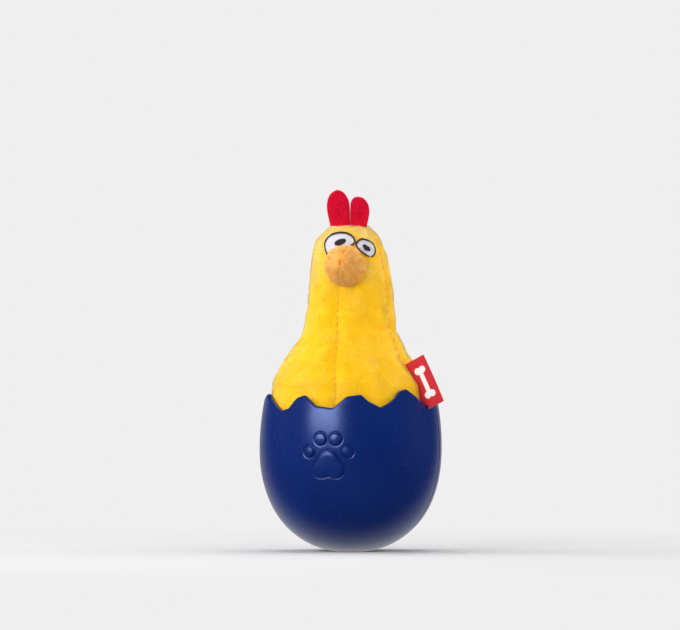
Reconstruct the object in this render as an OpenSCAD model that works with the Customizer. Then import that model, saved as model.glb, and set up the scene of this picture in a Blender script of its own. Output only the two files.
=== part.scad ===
// Squeaky tumbler dog toy: a plush chicken standing in a weighted rubber egg cup.
// Millimetres. Z is up and the toy rests on the flat spot under the cup, centred on Z.
// Its front looks along -Y. Azimuths are in degrees from the front towards +X.

/* [Egg cup] */
// Outer diameter at the widest ring
egg_d = 70; // [66:1:80]
// Height of the widest ring above the floor
egg_belly_z = 39.5; // [38:0.5:43]
// Diameter of the flat spot that the toy rests on
base_flat_d = 13.6; // [8:0.2:24]
// Fullness of the bowl: 2 is an ellipse and more is boxier
bowl_fullness = 2.2; // [2:0.05:2.6]
// How far the wall draws in from the widest ring to the tip of the tallest petal
rim_draw = 2.8; // [1:0.1:5]
// Height of the lowest notch between two petals
rim_notch_z = 54; // [51:0.2:57]
// Rise of the tallest petal above the lowest notch
petal_h = 8.4; // [4:0.2:12]
// Wall thickness at the widest ring
cup_wall = 3; // [2:0.1:4]
// Wall thickness at the petal tips
rim_wall = 1.6; // [1.2:0.1:2.4]
// Thickness of the floor of the bowl
base_wall = 3.5; // [2.5:0.1:5]
// Width of the raised paw print on the front
paw_w = 20; // [12:0.5:24]
// Height of the middle of the paw print above the floor
paw_z = 36.7; // [30:0.1:42]
// How far the paw print stands proud of the cup
paw_proud = 0.8; // [0.4:0.1:1.2]

/* [Counterweight] */
// Height of the weight's flat top above the floor
weight_top_z = 17; // [12:0.5:20]
// Thickness of the cap that holds the weight down
cap_t = 2.2; // [1.5:0.1:3]
// Height of the ring moulded in the cup that the cap snaps under
snap_h = 2.2; // [1.5:0.1:3]
// How far that ring reaches over the cap
snap_reach = 2.8; // [1.5:0.1:4]

/* [Plush body] */
// Height of the crown of the head above the floor
crown_z = 123.6; // [112:0.2:140]
// Diameter of the head at the beak's height, across the plush
head_d = 30.3; // [27:0.1:33]
// Thickness of the plush cloth with its pile
plush_t = 1.5; // [1:0.1:2]
// How far the chest bulges towards the front left
chest_bulge = 1.7; // [0:0.1:3]
// How far the head leans towards the front left
head_lean = 0.9; // [0:0.1:3]
// Azimuth of the right side seam, which the left one mirrors
side_seam = 76; // [65:1:100]
// Depth that the seams pull in
seam_dip = 0.7; // [0:0.1:1.2]
// Thickness of the cloth disc that closes the plush below
disc_t = 1.4; // [1:0.1:2]

/* [Face] */
// Diameter of the beak ball
beak_d = 15.8; // [12:0.2:18]
// Height of the beak's centre below the crown
beak_drop = 14.2; // [13:0.1:18]
// Azimuth of the beak
beak_azimuth = 6.5; // [-10:0.5:12]
// Distance of the beak's centre outside the plush
beak_out = 1; // [0:0.1:2.5]
// Thickness of the beak's cloth
beak_cloth_t = 1.1; // [0.8:0.1:1.6]
// Depth of the crease where the beak's two panels meet
beak_crease = 0.6; // [0.2:0.1:0.7]
// Width of the big eye to the middle of its black line
big_eye_w = 11.9; // [10:0.1:14]
// Height of the big eye to the middle of its black line
big_eye_h = 8.2; // [6:0.1:9]
// Width of the small eye to the middle of its black line
small_eye_w = 7.8; // [7:0.1:11]
// Height of the small eye to the middle of its black line
small_eye_h = 6.6; // [4:0.1:7]
// Width of the black line sewn round the eyes
eye_line_w = 0.7; // [0.5:0.1:1]
// Thickness of the embroidery
embroidery_t = 0.5; // [0.3:0.1:0.8]

/* [Comb] */
// Thickness of the felt
felt_t = 1.6; // [1:0.1:2.2]
// Rise of the large lobe above the crown
large_lobe_h = 15; // [10:0.5:18]
// Width of the large lobe
large_lobe_w = 9.1; // [7:0.1:10]
// Rise of the small lobe above the crown
small_lobe_h = 12.4; // [8:0.2:15]
// Width of the small lobe
small_lobe_w = 7.6; // [6:0.1:9]
// Depth that the felt is sewn into the head
comb_tab = 3.5; // [2:0.5:5]

/* [Side label] */
// Length of the folded ribbon along the seam
label_l = 19.6; // [14:0.2:22]
// How far the ribbon stands out from the seam
label_w = 7.8; // [6:0.1:9]
// Thickness of the folded ribbon, both layers
label_t = 1.1; // [0.9:0.1:1.6]
// Gap between the ribbon's two layers
label_gap = 0.2; // [0.1:0.05:0.4]
// Height of the ribbon's upper end below the crown
label_drop = 51.6; // [50:0.2:53]

/* [Squeaker] */
// Diameter of the squeaker's bulb
bulb_d = 36; // [30:0.5:38]
// Height of the bulb without its neck
bulb_h = 22; // [18:0.5:24]
// Height of the bulb's lowest point above the floor
bulb_z = 57; // [52:0.5:60]
// Wall thickness of the bulb
bulb_wall = 1; // [0.7:0.1:1.4]
// Diameter of the whistle's barrel
whistle_d = 8.2; // [7:0.1:9]
// Length of the whistle's barrel below its flange
whistle_l = 8; // [6:0.5:9]
// Thickness of the whistle's flange
flange_t = 1.5; // [1:0.1:2]
// Thickness of the reed
reed_t = 0.3; // [0.2:0.05:0.5]
// How far the whistle sinks when the toy is squeezed
squeeze_travel = 7; // [4:0.5:9]

/* [Fits] */
// Clearance between the soft pieces and what they sit against
fit_gap = 0.3; // [0.2:0.05:0.4]
// Clearance between hard pieces that snap or plug together
plug_gap = 0.15; // [0.1:0.05:0.3]

/* [Hidden] */
$fn = 72;

rubber_blue = "#253d80";
plush_yellow = "#fbc414";
beak_orange = "#f7a956";
felt_red = "#d0082a";
ribbon_red = "#d11829";
thread_white = "#d8d3d8";
thread_black = "#2a2628";
thread_yellow = "#c98f10";
filling_white = "#f2f0ea";
squeaker_white = "#e6e6e0";
cap_grey = "#8c9096";
iron_grey = "#55585c";

// Egg cup: a superellipse below the widest ring and an ellipse above it
rim_top_z = rim_notch_z + petal_h;
egg_r = egg_d / 2;
cup_in_r = egg_r - cup_wall;
flat_share = pow(base_flat_d / egg_d, bowl_fullness);
bowl_b = egg_belly_z / pow(1 - flat_share, 1 / bowl_fullness);
bowl_in_b = egg_belly_z - base_wall;
upper_b = (rim_top_z - egg_belly_z) / sqrt(1 - pow(1 - rim_draw / egg_r, 2));
bowl_steps = 10;
upper_steps = 6;

function bowl_angle(z, b) = acos(pow((egg_belly_z - z) / b, bowl_fullness / 2));
function bowl_point(angle, a, b) = [
    a * pow(sin(angle), 2 / bowl_fullness),
    egg_belly_z - b * pow(max(0, cos(angle)), 2 / bowl_fullness)
];
function bowl_arc(a, b, z_low, z_high) =
    let (from = bowl_angle(z_low, b), to = bowl_angle(z_high, b))
    [for (i = [0 : bowl_steps]) bowl_point(from + (to - from) * i / bowl_steps, a, b)];
function bowl_radius(z, a, b) = bowl_point(bowl_angle(z, b), a, b)[0];
function upper_radius(z) = egg_r * sqrt(1 - pow((z - egg_belly_z) / upper_b, 2));
function upper_wall(z) =
    cup_wall + (rim_wall - cup_wall) * (z - egg_belly_z) / (rim_top_z - egg_belly_z);
function cup_out(z) = z < egg_belly_z ? bowl_radius(z, egg_r, bowl_b) : upper_radius(z);
function cup_in(z) =
    z < egg_belly_z ? bowl_radius(z, cup_in_r, bowl_in_b) : upper_radius(z) - upper_wall(z);
function upper_heights() =
    [for (i = [1 : upper_steps]) egg_belly_z + (rim_top_z - egg_belly_z) * i / upper_steps];
function reversed(list) = [for (i = [len(list) - 1 : -1 : 0]) list[i]];
function around(azimuth, r, z) = [r * sin(azimuth), -r * cos(azimuth), z];

// Rim outline: azimuth, and height as a share of petal_h above the lowest notch
rim_outline = [
    [-62.5, 0.77], [-38.5, 0], [-30.5, 0.13], [-27.5, 0.38], [-24.5, 0.61], [-18.5, 0.73],
    [-9.5, 0.25], [2.5, 0.14], [11.5, 0.67], [21.5, 0.76], [25.5, 0.48], [34.5, 0.17],
    [41.5, 0.4], [46.5, 0.63], [49.5, 0.88], [56, 1], [75, 0.2], [91, 0.74],
    [112, 0.11], [131, 0.82], [150, 0.17], [169, 0.71], [190, 0.05], [208, 0.86],
    [228, 0.19], [247, 0.76], [268, 0.12]
];
rim_rounding = 2.2;
rim_corner_share = 0.4;
rim_count = len(rim_outline);

function rim_station(i) =
    let (turn = floor(i / rim_count), s = rim_outline[i - turn * rim_count])
    [s[0] + 360 * turn, rim_notch_z + petal_h * s[1]];
function between(p, q, share) = p + (q - p) * share;
function rim_corner(i) =
    let (
        p = rim_station(i - 1), c = rim_station(i), n = rim_station(i + 1),
        back = min(rim_corner_share, rim_rounding / (c[0] - p[0])),
        ahead = min(rim_corner_share, rim_rounding / (n[0] - c[0])),
        a = between(c, p, back), b = between(c, n, ahead)
    )
    [a, (a + 2 * c + b) / 4, b];
rim_points = [for (i = [0 : rim_count - 1]) each rim_corner(i)];
function rim_height(azimuth) =
    lookup(azimuth, [for (i = [-1 : rim_count + 1]) rim_station(i)]);

// Weight pocket: the weight, its cap, the snap ring and the plush stack on one another
cap_z = weight_top_z + plug_gap;
snap_z = cap_z + cap_t + plug_gap;
disc_z = snap_z + snap_h + fit_gap;
hem_z = disc_z + disc_t + fit_gap / 3;

// Plush skin: share of the height from rim to crown, share of width, share of the lean
chest_stations = [
    [0.054, 0.93, 0.35], [0.159, 0.665, 0.94], [0.219, 0.51, 1], [0.265, 0.39, 0.7],
    [0.308, 0.3, 0.5], [0.372, 0.195, 0.35], [0.446, 0.135, 0.1], [0.521, 0.09, 0],
    [0.657, 0.045, 0]
];
head_stations = [
    [0.745, 1, 0.13], [0.823, 0.94, 0.4], [0.914, 0.81, 0.87], [0.963, 0.63, 0.93],
    [0.993, 0.4, 1], [1, 0.055, 1]
];
hidden_rings = 4;
lean_azimuth = -40;
head_r = head_d / 2;
mouth_r = cup_in(rim_top_z) - fit_gap;
seam_w = 2.2;
// Front seam: share of the height from rim to crown, azimuth
front_seam = [[-0.13, 3], [0.2, 3.5], [0.34, 0], [0.45, -4.5], [0.63, -3], [1, 0]];

function share_z(share) = rim_top_z + (crown_z - rim_top_z) * share;
function front_seam_azimuth(z) = lookup((z - rim_top_z) / (crown_z - rim_top_z), front_seam);
// The front panels' columns follow the front seam and end at the side seams
function with_seam(azimuth, z) =
    azimuth + front_seam_azimuth(z) * max(0, 1 - abs(azimuth) / side_seam);
plush_stations = [
    for (i = [0 : hidden_rings])
        let (z = hem_z + (rim_top_z - hem_z) * i / hidden_rings)
        [cup_in(z) - fit_gap, z, 0],
    for (s = chest_stations)
        [head_r + (mouth_r - head_r) * s[1], share_z(s[0]), chest_bulge * s[2]],
    for (s = head_stations) [head_r * s[1], share_z(s[0]), head_lean * s[2]]
];
last_station = len(plush_stations) - 1;

function station(i) = plush_stations[max(0, min(last_station, i))];
function smooth_point(i, t) =
    let (a = station(i - 1), b = station(i), c = station(i + 1), d = station(i + 2))
    (2 * b + (c - a) * t + (2 * a - 5 * b + 4 * c - d) * t * t
        + (3 * b - a - 3 * c + d) * t * t * t) / 2;
// A ring is its radius, height and lean, then its outward normal in the radius-height plane
profile = [
    for (i = [0 : last_station])
        for (t = i >= hidden_rings && i < last_station ? [0, 0.5] : [0]) smooth_point(i, t)
];
function profile_normal(i) =
    let (
        p = profile[max(0, i - 1)], n = profile[min(len(profile) - 1, i + 1)],
        run = [n[0] - p[0], n[1] - p[1]]
    )
    i == 0 ? [1, 0] : [run[1], -run[0]] / norm(run);
rings = [for (i = [0 : len(profile) - 1]) concat(profile[i], profile_normal(i))];
skin_table = [for (k = [0 : 4]) [for (ring = rings) [ring[1], ring[k]]]];
function ring_at(z) = [for (k = [0 : 4]) lookup(z, skin_table[k])];

function turn_between(a, b) = abs((a - b + 540) % 360 - 180);
function seam_pull(azimuth, r, z) =
    seam_dip * max([
        for (s = [front_seam_azimuth(z), side_seam, 180, -side_seam])
            exp(-pow(turn_between(azimuth, s) * r * PI / 180 / seam_w, 2))
    ]);
lean_direction = around(lean_azimuth, 1, 0);
function skin_point(ring, azimuth, out) =
    let (d = out - seam_pull(azimuth, ring[0], ring[1]))
    around(azimuth, max(0.1, ring[0] + d * ring[3]), ring[1] + d * ring[4])
        + lean_direction * ring[2];
function skin_at(azimuth, z, out) = skin_point(ring_at(z), azimuth, out);

// Columns across one panel, closer together beside its seams
column_shares = [0, 0.06, 0.2, 0.4, 0.6, 0.8, 0.94, 1];
function columns(from, to) = [for (s = column_shares) from + (to - from) * s];
all_columns = [
    for (k = [0 : 3])
        let (from = [-side_seam, 0, side_seam, 180][k], to = [0, side_seam, 180, 360 - side_seam][k])
        for (s = column_shares) if (s < 1) from + (to - from) * s
];

function quad(a, b, c, d) = [[a, b, c], [a, c, d]];

// A layer of the plush between two depths, over the given rings and columns
module skin_layer(layer_rings, layer_columns, out, in) {
    rows = len(layer_rings);
    cols = len(layer_columns);
    inner = rows * cols;
    points = [
        for (out_or_in = [out, in]) for (ring = layer_rings) for (azimuth = layer_columns)
            skin_point(ring, with_seam(azimuth, ring[1]), out_or_in)
    ];
    faces = [
        for (i = [0 : rows - 2]) for (j = [0 : cols - 2])
            let (a = i * cols + j, d = a + cols)
            each concat(
                quad(a, d, d + 1, a + 1),
                quad(inner + a, inner + a + 1, inner + d + 1, inner + d)
            ),
        for (j = [0 : cols - 2])
            let (top = (rows - 1) * cols + j)
            each concat(
                quad(j, j + 1, inner + j + 1, inner + j),
                quad(top + 1, top, inner + top, inner + top + 1)
            ),
        for (i = [0 : rows - 2])
            let (a = i * cols, d = a + cols, z = a + cols - 1)
            each concat(
                quad(d, a, inner + a, inner + d),
                quad(z, z + cols, inner + z + cols, inner + z)
            )
    ];
    polyhedron(points, faces);
}

// The whole plush body as one closed form at a depth below its skin
module skin_solid(out) {
    rows = len(rings);
    cols = len(all_columns);
    top = rings[rows - 1];
    low = rings[0];
    points = concat(
        [
            for (ring = rings) for (azimuth = all_columns)
                skin_point(ring, with_seam(azimuth, ring[1]), out)
        ],
        [[0, 0, low[1]], [0, 0, top[1] + out * top[4]] + lean_direction * top[2]]
    );
    faces = [
        for (i = [0 : rows - 2]) for (j = [0 : cols - 1])
            let (a = i * cols + j, b = i * cols + (j + 1) % cols)
            each quad(a, a + cols, b + cols, b),
        for (j = [0 : cols - 1]) [j, (j + 1) % cols, rows * cols],
        for (j = [0 : cols - 1])
            let (a = (rows - 1) * cols)
            [a + (j + 1) % cols, a + j, rows * cols + 1]
    ];
    polyhedron(points, faces);
}

// Face: where the beak and the eyes sit on the head
beak_r = beak_d / 2;
beak_z = crown_z - beak_drop;
beak_centre = skin_at(beak_azimuth, beak_z, 0) + around(beak_azimuth, beak_out, 0);
beak_seat_gap = 0.25;
ball_steps = 12;
// The beak's seam turns to the left of its middle and leans over to the left
beak_seam_turn = -10;
beak_seam_roll = 12;
big_eye_azimuth = -4.1;
big_eye_drop = 6;
small_eye_azimuth = 43.3;
small_eye_drop = 7.5;
pupil_w = 4.5;
pupil_h = 2.5;
pupil_tilt = 20;
pupil_shift = [0.6, 0.7];
small_pupil_w = 3.3;
small_pupil_h = 2.1;
small_pupil_tilt = -40;
small_pupil_shift = [-0.1, 0];
embroidery_lift = 0.2;
pupil_sectors = 24;
eye_rings = 4;
crown_margin = 0.6;
// Eye outlines: across and up as shares of the eye's width and height
big_eye_corners = [
    [-0.39, -0.42], [-0.32, -0.5], [-0.14, -0.46], [0.11, -0.32], [0.36, -0.1], [0.5, 0.05],
    [0.5, 0.16], [0.42, 0.31], [0.25, 0.44], [0.06, 0.5], [-0.14, 0.5], [-0.31, 0.45],
    [-0.42, 0.31], [-0.5, 0.1], [-0.47, -0.17]
];
small_eye_corners = [
    [-0.41, -0.09], [-0.22, -0.3], [-0.02, -0.47], [0.18, -0.5], [0.39, -0.32], [0.5, -0.07],
    [0.46, 0.22], [0.24, 0.41], [0.03, 0.48], [-0.15, 0.5], [-0.35, 0.38], [-0.5, 0.21],
    [-0.49, 0.09]
];

// A spot on the head: across and up from an eye's centre, at a height above the skin
function eye_spot(azimuth, drop, across, up, out) =
    let (z = crown_z - drop + up, r = ring_at(z)[0])
    skin_at(azimuth + across / r * 180 / PI, min(z, crown_z - crown_margin), out);
// A closed outline with one more point on the curve between each two of its corners
function smooth_loop(corners) =
    let (n = len(corners))
    [
        for (i = [0 : n - 1])
            let (
                a = corners[(i + n - 1) % n], b = corners[i],
                c = corners[(i + 1) % n], d = corners[(i + 2) % n]
            )
            each [b, (9 * (b + c) - a - d) / 16]
    ];
function sized(outline, w, h) = [for (p = outline) [p[0] * w, p[1] * h]];
function tilted_oval(w, h, tilt) = [
    for (j = [0 : pupil_sectors - 1])
        let (x = w / 2 * cos(360 * j / pupil_sectors), y = h / 2 * sin(360 * j / pupil_sectors))
        [x * cos(tilt) - y * sin(tilt), x * sin(tilt) + y * cos(tilt)]
];
big_eye_form = smooth_loop(big_eye_corners);
small_eye_form = smooth_loop(small_eye_corners);
function big_eye_edge(grow) = sized(big_eye_form, big_eye_w + grow, big_eye_h + grow);
function small_eye_edge(grow) = sized(small_eye_form, small_eye_w + grow, small_eye_h + grow);

// A patch inside an outline that follows the head, shifted across and up from the eye's centre
module eye_patch(azimuth, drop, outline, low, high, shift = [0, 0]) {
    n = len(outline);
    layer = 1 + eye_rings * n;
    edge = layer - n;
    points = [
        for (out = [high, low]) each concat(
            [eye_spot(azimuth, drop, shift[0], shift[1], out)],
            [
                for (k = [1 : eye_rings]) for (q = outline)
                    let (p = q * k / eye_rings + shift) eye_spot(azimuth, drop, p[0], p[1], out)
            ]
        )
    ];
    faces = [
        for (j = [0 : n - 1])
            let (m = (j + 1) % n)
            each concat(
                [[0, 1 + m, 1 + j], [layer, layer + 1 + j, layer + 1 + m]],
                quad(edge + j, edge + m, layer + edge + m, layer + edge + j)
            ),
        for (k = [0 : eye_rings - 2]) for (j = [0 : n - 1])
            let (a = 1 + k * n + j, b = 1 + k * n + (j + 1) % n)
            each concat(
                quad(a, b, b + n, a + n),
                quad(layer + a, layer + a + n, layer + b + n, layer + b)
            )
    ];
    polyhedron(points, faces);
}

// A line between two outlines of as many points, following the head
module eye_band(azimuth, drop, inside, outside, low, high) {
    n = len(inside);
    points = [
        for (out = [high, low]) for (outline = [inside, outside]) for (p = outline)
            eye_spot(azimuth, drop, p[0], p[1], out)
    ];
    faces = [
        for (j = [0 : n - 1])
            let (m = (j + 1) % n)
            each concat(
                quad(j, m, n + m, n + j),
                quad(2 * n + j, 3 * n + j, 3 * n + m, 2 * n + m),
                quad(n + j, n + m, 3 * n + m, 3 * n + j),
                quad(m, j, 2 * n + j, 2 * n + m)
            )
    ];
    polyhedron(points, faces);
}

// Comb: each lobe's outline as shares of its width and of its rise above the crown
large_lobe_outline = [
    [0.18, 0.02], [0.1, 0.22], [0.04, 0.37], [0, 0.56], [0.03, 0.73], [0.1, 0.85], [0.24, 0.95],
    [0.41, 1], [0.52, 1], [0.65, 0.97], [0.77, 0.91], [0.88, 0.82], [0.96, 0.71], [0.99, 0.6],
    [1, 0.41], [1, 0.05]
];
small_lobe_outline = [
    [0, 0.05], [0, 0.42], [0.01, 0.62], [0.03, 0.78], [0.09, 0.89], [0.2, 0.97], [0.37, 1],
    [0.55, 0.99], [0.71, 0.95], [0.86, 0.85], [0.96, 0.73], [1, 0.57], [0.99, 0.44],
    [0.95, 0.29], [0.86, 0.05]
];
comb_split_x = -0.2;
lobe_gap = 0.1;
comb_y = (lean_direction * head_lean)[1];
comb_floor_z = crown_z - comb_tab;

// Label: its seam edge follows the skin and its two corners stand out from it
label_tab = 1.2;
label_top_z = crown_z - label_drop;
label_fall = 63.5;
label_seat_steps = 6;
label_slot_gap = 0.1;
label_fold = 0.45;
function seam_radius(z) =
    let (p = skin_at(side_seam, z, seam_dip)) norm([p[0], p[1]]);
label_top_corner = [seam_radius(label_top_z), label_top_z];
label_run = [cos(label_fall), -sin(label_fall)];
label_out = [sin(label_fall), cos(label_fall)];
label_low_z = label_top_z - label_l * sin(label_fall);

// Squeaker: heights of the bulb and of the whistle in its neck
bulb_mid_z = bulb_z + bulb_h / 2;
bulb_squareness = 2.6;
bulb_sectors = 24;
neck_wall = 1.1;
neck_rise = 4.5;
neck_r = whistle_d / 2 + plug_gap + neck_wall;
neck_top_z = bulb_z + bulb_h + neck_rise;
flange_z = neck_top_z + plug_gap;
barrel_wall = 1.5;
whistle_bore_d = whistle_d - 2 * barrel_wall;
reed_side_gap = 0.7;
reed_end_gap = 0.5;
reed_w = whistle_bore_d - 2 * reed_side_gap;
pocket_gap = 0.5;
whistle_way_z = flange_z - whistle_l - squeeze_travel - pocket_gap;

// Seam threads: short stitches in the seam grooves
thread_d = 0.45;
stitch_l = 1.5;
stitch_pitch = 2.8;
stitch_lift = 0.35;
front_stitch_low = rim_top_z - petal_h / 2;
front_stitch_top = beak_z - beak_r - 1.5;
side_stitch_low = rim_top_z + 1;
side_stitch_top = crown_z - 8;
label_stitch_clear = 1;

module cup_profile() {
    polygon(concat(
        [[0, 0]],
        bowl_arc(egg_r, bowl_b, 0, egg_belly_z),
        [for (z = upper_heights()) [cup_out(z), z]],
        [for (z = reversed(upper_heights())) [cup_in(z), z]],
        reversed(bowl_arc(cup_in_r, bowl_in_b, snap_z + snap_h, egg_belly_z)),
        [[cup_in(snap_z) - snap_reach, snap_z + snap_h], [cup_in(snap_z) - snap_reach, snap_z]],
        reversed(bowl_arc(cup_in_r, bowl_in_b, base_wall, snap_z))
    ));
}

// Everything above the petal outline, as a ring that cuts the rim
module rim_cutter() {
    n = len(rim_points);
    inside = cup_in_r * 0.7;
    outside = egg_r * 1.3;
    roof = rim_top_z + petal_h;
    points = [
        for (p = rim_points) each [
            around(p[0], inside, p[1]), around(p[0], outside, p[1]),
            around(p[0], outside, roof), around(p[0], inside, roof)
        ]
    ];
    faces = [
        for (i = [0 : n - 1])
            let (m = (i + 1) % n)
            for (k = [0 : 3])
                let (l = (k + 1) % 4)
                each quad(4 * i + k, 4 * i + l, 4 * m + l, 4 * m + k)
    ];
    polyhedron(points, faces);
}

// A generic paw print, as shares of its width
module paw_outline() {
    scale(paw_w) {
        for (x = [-1, 1]) {
            translate([x * 0.15, -0.24]) circle(0.155);
            translate([x * 0.15, 0.34]) circle(0.115);
            translate([x * 0.385, 0.1]) circle(0.105);
        }
        translate([0, -0.07]) circle(0.19);
    }
}

module paw_print() {
    half = paw_w * 0.6;
    steps = 8;
    heights = [for (i = [0 : steps]) paw_z - half + 2 * half * i / steps];
    intersection() {
        rotate_extrude() polygon(concat(
            [for (z = heights) [cup_out(z) + paw_proud, z]],
            [for (z = reversed(heights)) [cup_out(z) - cup_wall / 2, z]]
        ));
        translate([0, 0, paw_z])
            rotate([90, 0, 0]) linear_extrude(egg_d) paw_outline();
    }
}

module egg_cup() {
    color(rubber_blue) {
        difference() {
            rotate_extrude() cup_profile();
            rim_cutter();
        }
        paw_print();
    }
}

module counterweight() {
    a = cup_in_r - fit_gap;
    b = bowl_in_b - fit_gap;
    color(iron_grey) rotate_extrude()
        polygon(concat(bowl_arc(a, b, egg_belly_z - b, weight_top_z), [[0, weight_top_z]]));
}

module weight_cap() {
    low_r = cup_in(cap_z) - fit_gap;
    color(cap_grey) translate([0, 0, cap_z]) cylinder(h = cap_t, r = low_r);
}

module plush_base_disc() {
    color(plush_yellow) translate([0, 0, disc_z])
        cylinder(h = disc_t, r = cup_in(disc_z) - fit_gap);
}

// Slots for the sewn-in edges of the comb and the label
module comb_slot() {
    half_t = felt_t / 2 + fit_gap / 2;
    left = comb_split_x - large_lobe_w - fit_gap;
    right = comb_split_x + lobe_gap + small_lobe_w + fit_gap;
    translate([left, comb_y - half_t, comb_floor_z - fit_gap])
        cube([right - left, 2 * half_t, comb_tab + large_lobe_h]);
}

module label_blade(thickness, sink) {
    heights = [
        for (i = [0 : label_seat_steps])
            label_low_z + (label_top_z - label_low_z) * i / label_seat_steps
    ];
    top = label_top_corner + label_out * label_w;
    low = top + label_run * label_l;
    wall_low = cup_in(rim_notch_z) - 2 * fit_gap;
    rotate([0, 0, side_seam - 90]) rotate([90, 0, 0])
        translate([0, 0, -thickness / 2]) linear_extrude(thickness) difference() {
            polygon(concat(
                [low],
                [top],
                [for (z = reversed(heights)) [seam_radius(z) - label_tab - sink, z]]
            ));
            translate([wall_low, 0])
                square([rim_wall + cup_wall + 4 * fit_gap, rim_height(side_seam) + fit_gap]);
        }
}

module label_slot() {
    label_blade(label_t + 2 * label_slot_gap, label_slot_gap);
}

module plush_panel(from, to) {
    color(plush_yellow) difference() {
        skin_layer(rings, columns(from, to), 0, -plush_t);
        comb_slot();
        label_slot();
    }
}
module plush_front_left() { plush_panel(-side_seam, 0); }
module plush_front_right() { plush_panel(0, side_seam); }
module plush_back_left() { plush_panel(180, 360 - side_seam); }
module plush_back_right() { plush_panel(side_seam, 180); }

function bulb_arc(half_w, half_h) = [
    for (i = [0 : bulb_sectors])
        let (angle = -90 + 180 * i / bulb_sectors, up = sin(angle))
        [
            half_w * pow(max(0, cos(angle)), 2 / bulb_squareness),
            bulb_mid_z + half_h * sign(up) * pow(abs(up), 2 / bulb_squareness)
        ]
];
module bulb_form(grow) {
    rotate_extrude() polygon(bulb_arc(bulb_d / 2 + grow, bulb_h / 2 + grow));
}

module fibre_filling() {
    pocket_r = neck_r + pocket_gap;
    color(filling_white) difference() {
        skin_solid(-plush_t - fit_gap);
        bulb_form(fit_gap);
        translate([0, 0, whistle_way_z])
            cylinder(h = flange_z + flange_t + pocket_gap - whistle_way_z, r = pocket_r);
        comb_slot();
    }
}

module squeaker_bulb() {
    color(squeaker_white) difference() {
        union() {
            bulb_form(0);
            translate([0, 0, bulb_mid_z]) cylinder(h = neck_top_z - bulb_mid_z, r = neck_r);
        }
        bulb_form(-bulb_wall);
        translate([0, 0, bulb_mid_z])
            cylinder(h = neck_top_z, r = whistle_d / 2 + plug_gap);
    }
}

module squeaker_whistle() {
    bore_r = whistle_bore_d / 2;
    color(squeaker_white) translate([0, 0, flange_z]) {
        difference() {
            union() {
                translate([0, 0, -whistle_l]) cylinder(h = whistle_l, d = whistle_d);
                cylinder(h = flange_t, r = neck_r);
            }
            translate([0, 0, -2 * whistle_l]) cylinder(h = 3 * whistle_l, r = bore_r);
        }
        // The half plug that the reed lies on
        intersection() {
            translate([0, 0, -whistle_l]) cylinder(h = whistle_l, r = bore_r + barrel_wall / 2);
            translate([-bore_r, 0, -whistle_l]) cube([2 * bore_r, 2 * bore_r, whistle_l]);
        }
    }
}

module squeaker_reed() {
    color(cap_grey) translate([-reed_w / 2, -reed_t, flange_z - whistle_l + reed_end_gap])
        cube([reed_w, reed_t, whistle_l - 2 * reed_end_gap]);
}

module lobe(outline, left, w, rise) {
    last = len(outline) - 1;
    color(felt_red) translate([left, comb_y + felt_t / 2, 0]) rotate([90, 0, 0])
        linear_extrude(felt_t) polygon(concat(
            [for (p = outline) [p[0] * w, crown_z + p[1] * rise]],
            [for (p = [outline[last], outline[0]]) [p[0] * w, comb_floor_z]]
        ));
}
module comb_large_lobe() {
    lobe(large_lobe_outline, comb_split_x - large_lobe_w, large_lobe_w, large_lobe_h);
}
module comb_small_lobe() {
    lobe(small_lobe_outline, comb_split_x + lobe_gap, small_lobe_w, small_lobe_h);
}

// The patch of head under the beak, grown by the beak's seat gap
module beak_seat() {
    reach = 50;
    steps = 10;
    rise = beak_r + 1;
    seat_rings = [for (i = [0 : steps]) ring_at(beak_z - rise + 2 * rise * i / steps)];
    seat_columns = [for (i = [0 : steps]) beak_azimuth - reach + 2 * reach * i / steps];
    skin_layer(seat_rings, seat_columns, beak_seat_gap, -head_r / 2);
}

// One half of the ball, lying on its seam plane, as radius and distance from that plane
function ball_arc(r, from) =
    [for (i = [0 : ball_steps])
        let (angle = from + (90 - from) * i / ball_steps) [r * cos(angle), r * sin(angle)]];
function beak_profile() = concat(
    [[beak_r - beak_crease, 0]],
    ball_arc(beak_r, asin(beak_crease / beak_r)),
    reversed(ball_arc(beak_r - beak_cloth_t, 0))
);

module at_beak(side) {
    translate(beak_centre) rotate([0, 0, beak_azimuth + beak_seam_turn])
        rotate([0, beak_seam_roll + side * 90, 0]) children();
}
module beak_half(side) {
    color(beak_orange) difference() {
        at_beak(side) rotate_extrude() polygon(beak_profile());
        beak_seat();
    }
}
module beak_left_panel() { beak_half(-1); }
module beak_right_panel() { beak_half(1); }

module beak_filling() {
    r = beak_r - beak_cloth_t - fit_gap;
    half = ball_arc(r, 0);
    color(filling_white) difference() {
        at_beak(1) rotate_extrude() polygon(concat(
            reversed([for (p = half) if (p[1] > 0) [p[0], -p[1]]]), half
        ));
        beak_seat();
    }
}

module beak_clearance() {
    translate(beak_centre) sphere(beak_r + embroidery_lift);
}
module big_eye_clearance() {
    eye_patch(big_eye_azimuth, big_eye_drop, big_eye_edge(eye_line_w + 2 * embroidery_lift),
        -plush_t, 2 * plush_t);
}

line_share = 1.3;
pupil_share = 0.7;
line_high = embroidery_lift + embroidery_t * line_share;
white_high = embroidery_lift + embroidery_t;
pupil_low = white_high + embroidery_lift;
pupil_high = pupil_low + embroidery_t * pupil_share;

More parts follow.
